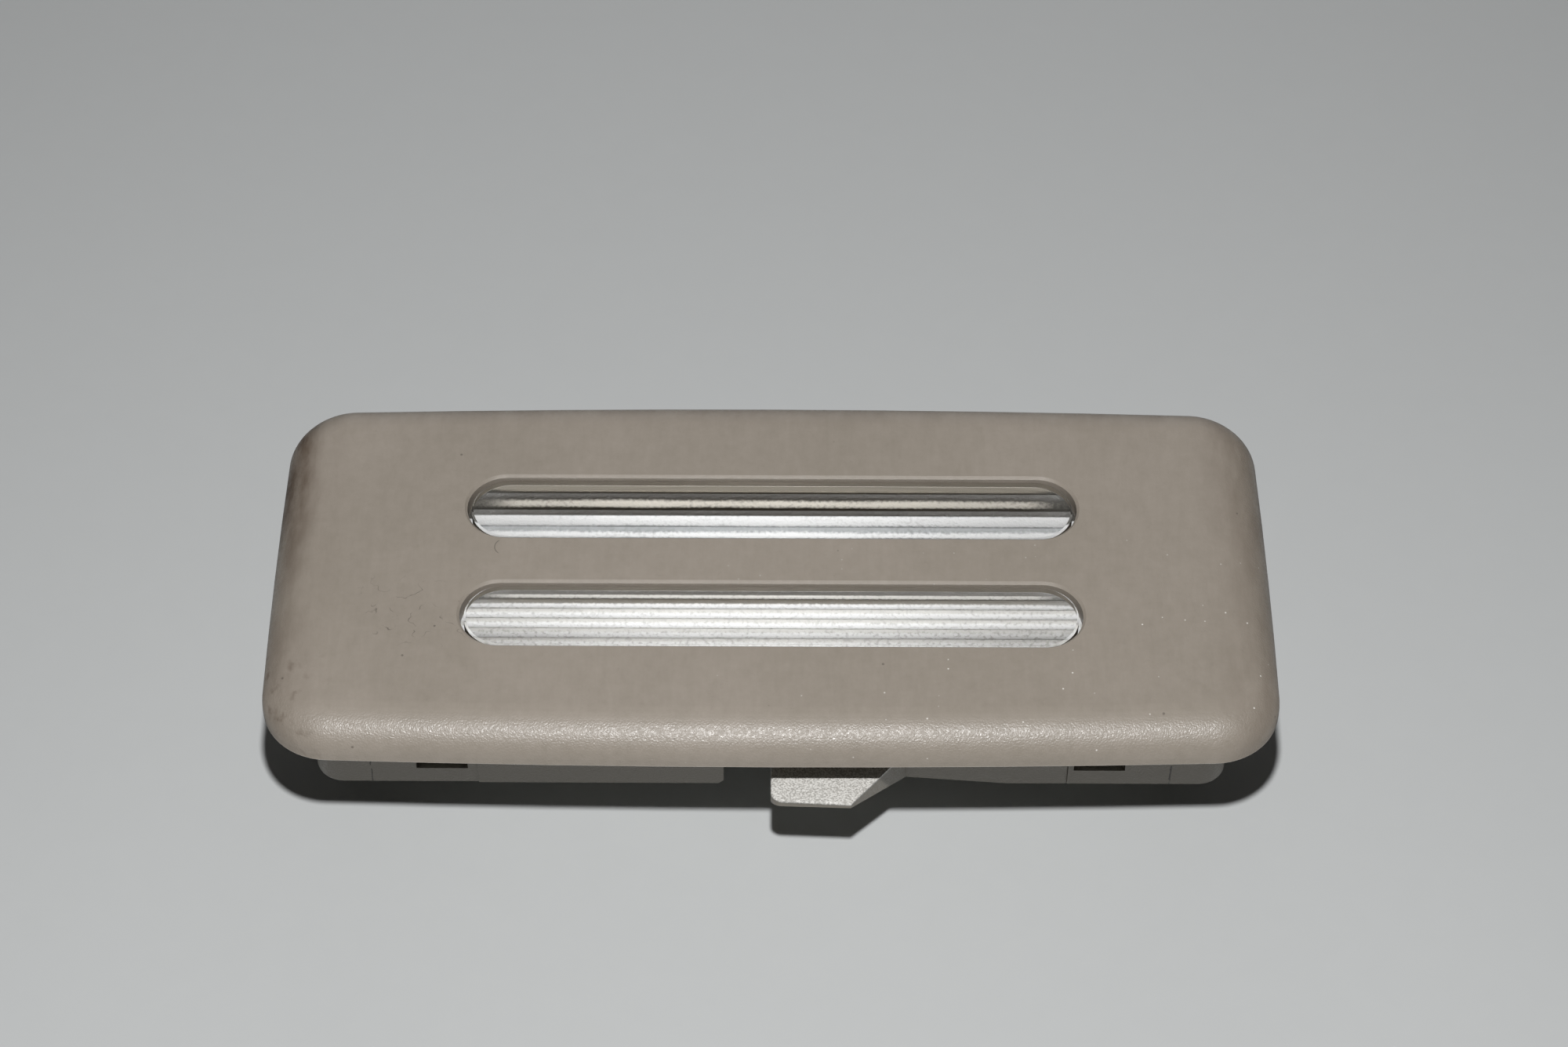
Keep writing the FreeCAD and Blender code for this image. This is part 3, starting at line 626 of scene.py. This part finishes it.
@dataclass(frozen=True)
class Flutes:
    """One row of frosted flutes under the lens, with painted light and shade on the frosting, seen as bands
    across a window.

    The painted bands are a cosine wave of the place across the lamp, light on the crests and shade in the
    hollows, broken by the grain into painted sparkle. Past the dim line, where the light falls short, they
    are painted darker, and past the last flute the frosting takes the edge colour: painted shade of the
    cover's web under the near window and a painted reflection of the cover's wall under the far one. Away
    from the bright place, at the ends and past the low line the row is painted in shade. Light bounced
    inside the clear bar brightens what lies under it, so each colour is written as it shows and darkened by
    colour / (1 + inner_light * colour).
    """

    pitch: float
    crest: float
    dim_line: Ramp
    edge_line: Ramp
    lit: PaintedLightBands
    dim: PaintedLightBands
    # Past the last flute: painted shade under the near window and a painted reflection of the cover's wall
    # under the far one.
    edge: Colour
    # Painted shade at the ends, away from the bright place and past the low line.
    end: Colour
    sparkle: float
    speckle: float
    low_line: Ramp = (-20.0, -20.6)
    low_shade: float = 0.0
    speckle_ramp: Ramp = (0.5, 0.3)
    bright_at: float = -3.0
    from_bright: Ramp = (4.0, 32.0)
    outer_shade: float = 0.35
    dark_end: Ramp = (25.0, 29.0)
    end_shade: float = 0.6
    inner_light: float = 0.45

    def under_glass(self, colour: Colour) -> Colour:
        """Returns the paint that shows as a colour through the clear bar."""
        red, green, blue = (part / (1 + self.inner_light * part) for part in colour[:3])
        return (red, green, blue, 1.0)

    def banded(self, shader: Shader, wave: Value, bands: PaintedLightBands) -> bpy.types.NodeSocket:
        """Returns the colour of a stretch from its wave."""
        share = wave.step(*bands.blend)
        return shader.mix(share, self.under_glass(bands.hollow), self.under_glass(bands.crest))

    def colour(self, shader: Shader, x: Value, y: Value, grain: Value) -> bpy.types.NodeSocket:
        """Paints the row.

        Args:
            shader: Shader of the lens.
            x: Place along the lamp in millimetres.
            y: Place across the lamp in millimetres.
            grain: Frosting from 0 to 1.

        Returns:
            The colour.
        """
        wave = shader.math("COSINE", (y - self.crest) * (2 * math.pi / self.pitch)) * 0.5 + 0.5
        wave = wave + (grain - 0.5) * self.sparkle
        past_dim = y.step(*self.dim_line)
        lit = self.banded(shader, wave, self.lit)
        bands = shader.mix(past_dim, lit, self.banded(shader, wave, self.dim))
        rows = shader.mix(y.step(*self.edge_line), bands, self.under_glass(self.edge))
        outer = abs(x - self.bright_at).step(*self.from_bright) * self.outer_shade
        ends = abs(x).step(*self.dark_end) * past_dim * self.end_shade
        low = y.step(*self.low_line) * self.low_shade
        speckle = grain.step(*self.speckle_ramp) * self.speckle
        return shader.mix(outer + ends + low + speckle, rows, self.under_glass(self.end))


# Painted light and shade of the two rows, as each window shows them.
FAR_FLUTES = Flutes(
    pitch=2.2,
    crest=4.93,
    dim_line=(7.68, 7.88),
    edge_line=(10.7, 10.9),
    lit=PaintedLightBands(tint(150, 153, 154), tint(255, 255, 255), (0.05, 0.55)),
    dim=PaintedLightBands(tint(38, 33, 25), tint(218, 210, 196), (0.36, 0.98)),
    edge=tint(140, 132, 119),
    end=tint(66, 64, 60),
    sparkle=0.9,
    speckle=0.18,
)
NEAR_FLUTES = Flutes(
    pitch=1.22,
    crest=-5.05,
    dim_line=(-3.75, -3.4),
    edge_line=(-2.5, -2.3),
    lit=PaintedLightBands(tint(214, 212, 206), tint(255, 255, 255), (0.1, 0.7)),
    dim=PaintedLightBands(tint(98, 93, 84), tint(236, 232, 224), (0.28, 0.88)),
    edge=tint(74, 70, 64),
    end=tint(112, 110, 106),
    sparkle=0.8,
    speckle=0.2,
    low_line=(-6.6, -7.2),
    low_shade=0.36,
)


@dataclass(frozen=True)
class ClearLens:
    """Clear lens plastic, frosted on the flutes of its underside with painted light and shade, and with
    opaque side walls to its two bars, painted with the reflection of the cover's window wall and with
    shade.
    """

    clear: Colour = tint(252, 253, 253)
    clear_roughness: float = 0.02
    ior: float = 1.49
    # Painted reflection of the cover's window wall on the bars' side walls, with painted shade.
    wall: Colour = tint(130, 122, 111)
    wall_shade: Colour = tint(106, 99, 88)
    wall_roughness: float = 0.5
    frost_roughness: float = 0.45
    frost_depth: float = 0.05
    dull_specular: float = 0.2
    frosting: Clouds = Clouds(0.36, 1.0)
    smears: Clouds = Clouds(6.0, 2.0, 0.5, (0.5, 1.5, 1.0))
    far_frosting: float = 0.5
    near_frosting: float = 0.9
    near_to_far: Ramp = (-0.1, 0.1)
    underside: Ramp = (0.85, 0.75)
    above_plate: Ramp = (2.65, 2.7)
    below_bevel: Ramp = (4.04, 4.01)
    bar_centre: float = 6.8
    bar_straight: float = 26.02
    bar_side: Ramp = (3.72, 3.75)

    def on_walls(self, x: Value, y: Value, z: Value) -> Value:
        """Finds the bars' side walls by their distance from each bar's spine.

        Args:
            x: Place along the lamp in millimetres.
            y: Place across the lamp in millimetres.
            z: Height in millimetres.

        Returns:
            1 on a wall and 0 elsewhere.
        """
        across = abs(y) - self.bar_centre
        beyond = (abs(x) - self.bar_straight).at_least(0.0)
        from_spine = (across * across + beyond * beyond) ** 0.5
        return from_spine.step(*self.bar_side) * z.step(*self.above_plate) * z.step(*self.below_bevel)

    def material(self) -> bpy.types.Material:
        """Makes the finish.

        Returns:
            The material.
        """
        shader = Shader("lens_clear")
        x, y, z = shader.axes()
        grain = shader.noise(self.frosting)
        smear = shader.noise(self.smears)
        far_grain = grain * self.far_frosting + smear * (1 - self.far_frosting)
        near_grain = grain * self.near_frosting + smear * (1 - self.near_frosting)
        far = FAR_FLUTES.colour(shader, x, y, far_grain)
        near = NEAR_FLUTES.colour(shader, x, y, near_grain)
        # Frosting whose colour is the painted light and shade of both rows.
        frost_with_painted_light = shader.principled(
            Base_Color=shader.mix(y.step(*self.near_to_far), near, far),
            Roughness=self.frost_roughness,
            Specular_IOR_Level=self.dull_specular,
            Normal=shader.bump(grain, self.frost_depth),
        )
        clear = shader.principled(
            Base_Color=self.clear,
            Roughness=self.clear_roughness,
            Transmission_Weight=1.0,
            IOR=self.ior,
        )
        # Opaque side walls painted with the reflection of the cover's window wall and with shade.
        painted_walls = shader.principled(
            Base_Color=shader.mix(smear, self.wall, self.wall_shade),
            Roughness=self.wall_roughness,
            Specular_IOR_Level=self.dull_specular,
        )
        solid = shader.blend(self.on_walls(x, y, z), clear, painted_walls)
        return shader.finish(shader.blend(z.step(*self.underside), solid, frost_with_painted_light))


@dataclass(frozen=True)
class WhiteMoulding:
    """Smooth white plastic with slight flow marks and a fine texture; its top face under the lens is
    painted grey as shade.
    """

    colour: Colour = tint(226, 226, 222)
    flow_mark: Colour = tint(208, 207, 200)
    # Painted shade of the cover's web on the top face under the lens.
    deck_painted_shade: Colour = tint(150, 144, 133)
    dust: Colour = tint(120, 114, 104)
    flow: Clouds = Clouds(6.0, 3.0, 0.6, (0.5, 1.0, 1.0))
    flow_ramp: Ramp = (0.35, 0.7)
    texture: Clouds = Clouds(0.3, 2.0)
    texture_depth: float = 0.008
    dust_specks: Specks = Specks(3.0, 0.12, 0.3)
    dust_share: float = 0.5
    deck_ramp: Ramp = (0.5, 0.55)
    roughness: float = 0.34
    flow_roughness: float = 0.2

    def material(self) -> bpy.types.Material:
        """Makes the finish.

        Returns:
            The material.
        """
        shader = Shader("white_moulding")
        z = shader.axes()[2]
        flow = shader.noise(self.flow)
        dust = shader.specks(self.dust_specks)
        colour = shader.mix(flow.step(*self.flow_ramp), self.colour, self.flow_mark)
        # Painted shade on the top face under the lens.
        colour = shader.mix(z.step(*self.deck_ramp), colour, self.deck_painted_shade)
        surface = shader.principled(
            Base_Color=shader.mix(dust * self.dust_share, colour, self.dust),
            Roughness=self.roughness + flow * self.flow_roughness,
            Normal=shader.bump(shader.noise(self.texture), self.texture_depth),
        )
        return shader.finish(surface)


@dataclass(frozen=True)
class SheetMetal:
    """Stamped or plated metal with rolling marks along the lamp and tarnish in blotches."""

    name: str
    colour: Colour
    tarnish: Colour
    roughness: float = 0.24
    blotches: Clouds = Clouds(2.4, 4.0, 0.62)
    blotch_ramp: Ramp = (0.42, 0.72)
    blotch_roughness: float = 0.18
    rolling: Clouds = Clouds(0.5, 2.0, 0.5, (0.05, 1.0, 1.0))
    rolling_roughness: float = 0.08
    rolling_depth: float = 0.006

    def material(self) -> bpy.types.Material:
        """Makes the finish.

        Returns:
            The material.
        """
        shader = Shader(self.name)
        blotch = shader.noise(self.blotches)
        rolled = shader.noise(self.rolling)
        surface = shader.principled(
            Base_Color=shader.mix(blotch.step(*self.blotch_ramp), self.colour, self.tarnish),
            Metallic=1.0,
            Roughness=self.roughness + blotch * self.blotch_roughness + rolled * self.rolling_roughness,
            Normal=shader.bump(rolled, self.rolling_depth),
        )
        return shader.finish(surface)


BRASS = SheetMetal("sheet_brass", tint(205, 176, 112), tint(146, 114, 64))
PLATED = SheetMetal("plated_cap", tint(202, 200, 196), tint(150, 146, 140))
WIRE = SheetMetal("filament_wire", tint(120, 118, 116), tint(78, 76, 74), roughness=0.34)


@dataclass(frozen=True)
class BulbGlass:
    """Clear bulb glass, slightly wavy from drawing."""

    colour: Colour = tint(250, 252, 252)
    ior: float = 1.5
    waves: Clouds = Clouds(3.0, 1.0, 0.5, (0.3, 1.0, 1.0))
    wave_depth: float = 0.02
    roughness: float = 0.01
    wave_roughness: float = 0.02

    def material(self) -> bpy.types.Material:
        """Makes the finish.

        Returns:
            The material.
        """
        shader = Shader("bulb_glass")
        waves = shader.noise(self.waves)
        surface = shader.principled(
            Base_Color=self.colour,
            Roughness=self.roughness + waves * self.wave_roughness,
            Transmission_Weight=1.0,
            IOR=self.ior,
            Normal=shader.bump(waves, self.wave_depth),
        )
        return shader.finish(surface)


@dataclass(frozen=True)
class TableTop:
    """Plain pale table with faint small clouds."""

    colour: Colour = tint(190, 192, 192)
    cloud: Colour = tint(183, 185, 185)
    clouds: Clouds = Clouds(3.0, 4.0)
    cloud_share: float = 0.3
    roughness: float = 0.6

    def material(self) -> bpy.types.Material:
        """Makes the finish.

        Returns:
            The material.
        """
        shader = Shader("table_top")
        colour = shader.mix(shader.noise(self.clouds) * self.cloud_share, self.colour, self.cloud)
        return shader.finish(shader.principled(Base_Color=colour, Roughness=self.roughness))


def paint(node: str, material: bpy.types.Material) -> None:
    """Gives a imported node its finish."""
    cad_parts[node].material_slots[0].material = material
    log.info("%s: %s", node, material.name)


def grid_mesh(
    name: str, points: np.ndarray, wrap_rows: bool = False, wrap_columns: bool = False
) -> bpy.types.Mesh:
    """Makes a smooth mesh from a grid of points, with points that coincide welded.

    Args:
        name: Name of the mesh.
        points: Array of rows by columns by 3, in metres.
        wrap_rows: Whether the last row joins the first.
        wrap_columns: Whether the last column joins the first.

    Returns:
        The mesh.
    """
    rows, columns = points.shape[:2]
    index = np.arange(rows * columns).reshape(rows, columns)
    if wrap_rows:
        index = np.concatenate([index, index[:1]], axis=0)
    if wrap_columns:
        index = np.concatenate([index, index[:, :1]], axis=1)
    corners = [index[:-1, :-1], index[:-1, 1:], index[1:, 1:], index[1:, :-1]]
    faces = np.stack(corners, axis=-1).reshape(-1, 4)
    mesh = bpy.data.meshes.new(name)
    mesh.from_pydata(points.reshape(-1, 3), [], faces.tolist())
    weld = bmesh.new()
    weld.from_mesh(mesh)
    bmesh.ops.remove_doubles(weld, verts=weld.verts, dist=WELD_DISTANCE)
    weld.to_mesh(mesh)
    weld.free()
    mesh.polygons.foreach_set("use_smooth", np.ones(len(mesh.polygons), bool))
    return mesh


def tube(path: np.ndarray, side: np.ndarray, radius: float, sides: int) -> np.ndarray:
    """Carries a circle along a path and closes both ends to a point.

    Each ring is centre + radius * (cos a * n + sin a * b), where n is the side direction made square to
    the path and b is square to both.

    Args:
        path: Centres, as rows of 3 metres.
        side: Direction that the first point of each ring takes, for each centre or for all.
        radius: Radius of the circle in metres.
        sides: Points in each ring.

    Returns:
        The grid of points, rings by sides by 3.
    """
    along = np.gradient(path, axis=0)
    along /= np.linalg.norm(along, axis=1, keepdims=True)
    normal = side - np.sum(side * along, axis=1, keepdims=True) * along
    normal /= np.linalg.norm(normal, axis=1, keepdims=True)
    across = np.cross(along, normal)
    angle = np.linspace(0, 2 * np.pi, sides, endpoint=False)[None, :, None]
    rings = path[:, None] + radius * (np.cos(angle) * normal[:, None] + np.sin(angle) * across[:, None])
    first = np.repeat(path[None, :1], sides, axis=1)
    last = np.repeat(path[None, -1:], sides, axis=1)
    return np.concatenate([first, rings, last], axis=0)


def turned(profile: np.ndarray, level: float, count: int) -> np.ndarray:
    """Turns a closed profile about a line along x: y = r * sin a and z = level + r * cos a.

    Args:
        profile: Rows of x and radius r, in metres.
        level: Height of the line.
        count: Points round the line.

    Returns:
        The grid of points, profile rows by count by 3.
    """
    angle = np.linspace(0, 2 * np.pi, count, endpoint=False)
    x = np.repeat(profile[:, :1], count, axis=1)
    y = profile[:, 1:] * np.sin(angle)
    z = level + profile[:, 1:] * np.cos(angle)
    return np.stack([x, y, z], axis=-1)


def middle(node: str) -> Vector:
    """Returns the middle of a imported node's box."""
    low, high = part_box(node)
    return (low + high) / 2


def half_size(node: str) -> Vector:
    """Returns half the length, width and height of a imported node's box."""
    low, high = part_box(node)
    return (high - low) / 2


def half_wave(share: np.ndarray) -> np.ndarray:
    """Returns half a cosine wave, which rises from 0 where the share is 0 to 1 where it is 1."""
    return 0.5 - 0.5 * np.cos(np.pi * np.clip(share, 0, 1))


def add_piece(
    name: str, points: np.ndarray, material: bpy.types.Material, slot: Slot, **wraps: bool
) -> bpy.types.Object:
    """Makes a new piece that rides on the housing.

    Args:
        name: Name of the piece.
        points: Grid of points in metres.
        material: Finish.
        slot: Finish of the record that it stands for; not used.
        wraps: Which ways the grid closes on itself.

    Returns:
        The piece.
    """
    piece = bpy.data.objects.new(name, grid_mesh(name, points, **wraps))
    piece.data.materials.append(material)
    bpy.context.scene.collection.objects.link(piece)
    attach(piece, HOUSING)
    log.info("%s: %s, %d faces", name, material.name, len(piece.data.polygons))
    return piece


@dataclass
class Cover:
    """Cover moulding and its sprung latch, of one plastic."""

    nodes: tuple[str, ...] = ("cover", "retaining_latch")

    def dress(self) -> None:
        """Paints both."""
        plastic = GrainedPlastic().material()
        for node in self.nodes:
            paint(node, plastic)


@dataclass
class Lens:
    """Clear plate with its two bars and the flutes beneath."""

    node: str = "lens"

    def dress(self) -> None:
        """Paints the lens, which lets the light through."""
        paint(self.node, ClearLens().material())
        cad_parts[self.node].visible_shadow = False


@dataclass
class Carrier:
    """Bulb carrier with its two stamped contacts."""

    moulding: str = "bulb_carrier"
    contacts: tuple[str, ...] = ("contact_left", "contact_right")

    def dress(self) -> None:
        """Paints the moulding white and the contacts brass."""
        paint(self.moulding, WhiteMoulding().material())
        brass = BRASS.material()
        for node in self.contacts:
            paint(node, brass)


@dataclass
class FestoonBulb:
    """Festoon bulb: smooth glass, plated caps, and a coil held between two leads."""

    axis: float = middle("bulb_glass").z
    glass_half: float = half_size("bulb_glass").x
    glass_radius: float = half_size("bulb_glass").y
    neck_radius: float = 3.7 * MM
    neck_length: float = 2.3 * MM
    shoulder_length: float = 2.7 * MM
    glass_wall: float = 0.6 * MM
    glass_rows: int = 90
    glass_columns: int = 64
    coil_half: float = 5.5 * MM
    coil_radius: float = 0.32 * MM
    coil_turns: int = 30
    turn_points: int = 24
    coil_sag: float = 0.9 * MM
    wire_radius: float = 0.07 * MM
    wire_sides: int = 8
    lead_end: float = 15.2 * MM
    lead_radius: float = 0.2 * MM
    lead_sides: int = 12
    lead_points: int = 60
    lead_straight: float = 0.6
    lead_hook: float = 0.5 * MM

    def build_glass(self) -> bpy.types.Object:
        """Blows the glass: the radius falls from body to neck by half a cosine wave over each shoulder.

        Returns:
            The glass, outer and inner wall in one closed surface.
        """
        x = np.linspace(-self.glass_half, self.glass_half, self.glass_rows)
        neck = self.glass_half - self.neck_length
        rise = half_wave((neck - np.abs(x)) / self.shoulder_length)
        radius = self.neck_radius + (self.glass_radius - self.neck_radius) * rise
        outside = np.stack([x, radius], axis=1)
        inside = np.stack([x, radius - self.glass_wall], axis=1)[::-1]
        points = turned(np.concatenate([outside, inside]), self.axis, self.glass_columns)
        glass = BulbGlass().material()
        piece = add_piece("bulb_envelope", points, glass, Slot.GLASS, wrap_rows=True, wrap_columns=True)
        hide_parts("bulb_glass")
        return piece

    def coil_centre(self, x: np.ndarray) -> np.ndarray:
        """Returns the sagging centre line: level at the leads and lowest in the middle, by a parabola."""
        drop = self.coil_sag * (1 - (x / self.coil_half) ** 2)
        return np.stack([x, np.zeros_like(x), self.axis - drop], axis=-1)

    def build_coil(self, wire: bpy.types.Material) -> bpy.types.Object:
        """Winds the coil: a helix of coil_turns about the sagging line, y by the cosine and z by the sine.

        Args:
            wire: Finish of the wire.

        Returns:
            The coil.
        """
        share = np.linspace(0, 1, self.coil_turns * self.turn_points)
        centre = self.coil_centre((2 * share - 1) * self.coil_half)
        angle = 2 * np.pi * self.coil_turns * share
        out = np.stack([np.zeros_like(angle), np.cos(angle), np.sin(angle)], axis=-1)
        points = tube(centre + self.coil_radius * out, out, self.wire_radius, self.wire_sides)
        piece = add_piece("filament_coil", points, wire, Slot.WIRE, wrap_columns=True)
        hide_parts("bulb_filament")
        return piece

    def build_lead(self, end: End, wire: bpy.types.Material) -> bpy.types.Object:
        """Bends one lead: straight out of its cap, then up over the coil's end by half a cosine wave.

        Args:
            end: End of the bulb.
            wire: Finish of the wire.

        Returns:
            The lead.
        """
        share = np.linspace(0, 1, self.lead_points)
        x = self.lead_end + (self.coil_half - 2 * self.coil_radius - self.lead_end) * share
        rise = half_wave((share - self.lead_straight) / (1 - self.lead_straight))
        path = np.stack([end.value * x, np.zeros_like(x), self.axis + self.lead_hook * rise], axis=-1)
        points = tube(path, np.array([0.0, 1.0, 0.0]), self.lead_radius, self.lead_sides)
        return add_piece(f"filament_lead_{end.name.lower()}", points, wire, Slot.WIRE, wrap_columns=True)

    def build(self) -> None:
        """Makes the glass, the coil and its two leads."""
        wire = WIRE.material()
        self.build_glass()
        self.build_coil(wire)
        for end in End:
            self.build_lead(end, wire)

    def dress(self) -> None:
        """Paints the caps."""
        plated = PLATED.material()
        for end in End:
            paint(f"bulb_cap_{end.name.lower()}", plated)


@dataclass(frozen=True)
class FlatLight:
    """A flat light that faces the lamp: its name, place, outline, width in metres and power in watts."""

    name: str
    place: Point
    outline: Outline
    size: float
    power: float

    def hang(self) -> None:
        """Makes the light and turns it to the lamp."""
        data = bpy.data.lights.new(self.name, "AREA")
        data.shape = self.outline.value
        data.size = self.size
        data.energy = self.power
        light = bpy.data.objects.new(self.name, data)
        light.location = self.place
        light.rotation_mode = "QUATERNION"
        light.rotation_quaternion = (-Vector(self.place)).to_track_quat("-Z", "Y")
        bpy.context.scene.collection.objects.link(light)


@dataclass
class Studio:
    """Table, key light, soft light from behind, fill and the camera."""

    table_size: float = 3.0
    table_rows: int = 3
    table_level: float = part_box("bulb_carrier")[0].z
    camera: Point = (1.19 * MM, -231.3 * MM, 280.5 * MM)
    target: Point = (1.19 * MM, 4.63 * MM, 4.6 * MM)
    roll_degrees: float = 0.229
    focal_pixels: float = 4690.9
    image_width: float = 2000.0
    sensor: float = 36.0
    clip_start: float = 10.0 * MM
    key: FlatLight = FlatLight("key", (1.2 * MM, -163.0 * MM, 338.6 * MM), Outline.DISK, 16.0 * MM, 1.5)
    back: FlatLight = FlatLight("back", (0.0, 520.0 * MM, 190.0 * MM), Outline.SQUARE, 350.0 * MM, 0.3)
    fill: float = 0.011

    def build(self) -> None:
        """Sets up the whole stage."""
        self.build_table()
        self.key.hang()
        self.back.hang()
        self.build_fill()
        self.build_camera()

    def build_table(self) -> None:
        """Lays the table: a flat square grid at the level of the carrier's lowest faces."""
        span = np.linspace(-self.table_size / 2, self.table_size / 2, self.table_rows)
        y, x = np.meshgrid(span, span, indexing="ij")
        points = np.stack([x, y, np.full_like(x, self.table_level)], axis=-1)
        table = bpy.data.objects.new("table", grid_mesh("table", points))
        table.data.materials.append(TableTop().material())
        bpy.context.scene.collection.objects.link(table)

    def build_fill(self) -> None:
        """Sets the even light from all round."""
        world = bpy.data.worlds.new("fill")
        world.use_nodes = True
        background = world.node_tree.nodes["Background"]
        background.inputs["Color"].default_value = (1.0, 1.0, 1.0, 1.0)
        background.inputs["Strength"].default_value = self.fill
        bpy.context.scene.world = world

    def build_camera(self) -> None:
        """Puts the camera at the photograph's viewing angle."""
        data = bpy.data.cameras.new("camera")
        data.sensor_width = self.sensor
        data.lens = self.sensor * self.focal_pixels / self.image_width
        data.clip_start = self.clip_start
        camera = bpy.data.objects.new("camera", data)
        camera.location = self.camera
        look = Vector(self.target) - Vector(self.camera)
        camera.rotation_mode = "QUATERNION"
        roll = Quaternion((0.0, 0.0, 1.0), math.radians(self.roll_degrees))
        camera.rotation_quaternion = look.to_track_quat("-Z", "Y") @ roll
        bpy.context.scene.collection.objects.link(camera)
        bpy.context.scene.camera = camera


def main() -> None:
    """Dresses the lamp, makes the bulb's glass and wires and sets up the stage."""
    logging.basicConfig(level=logging.INFO, format="%(name)s: %(message)s")
    bpy.context.scene.view_settings.view_transform = "Standard"
    bulb = FestoonBulb()
    bulb.build()
    for assembly in (Cover(), Lens(), Carrier(), bulb):
        assembly.dress()
    Studio().build()


if __name__ == "__main__":
    main()
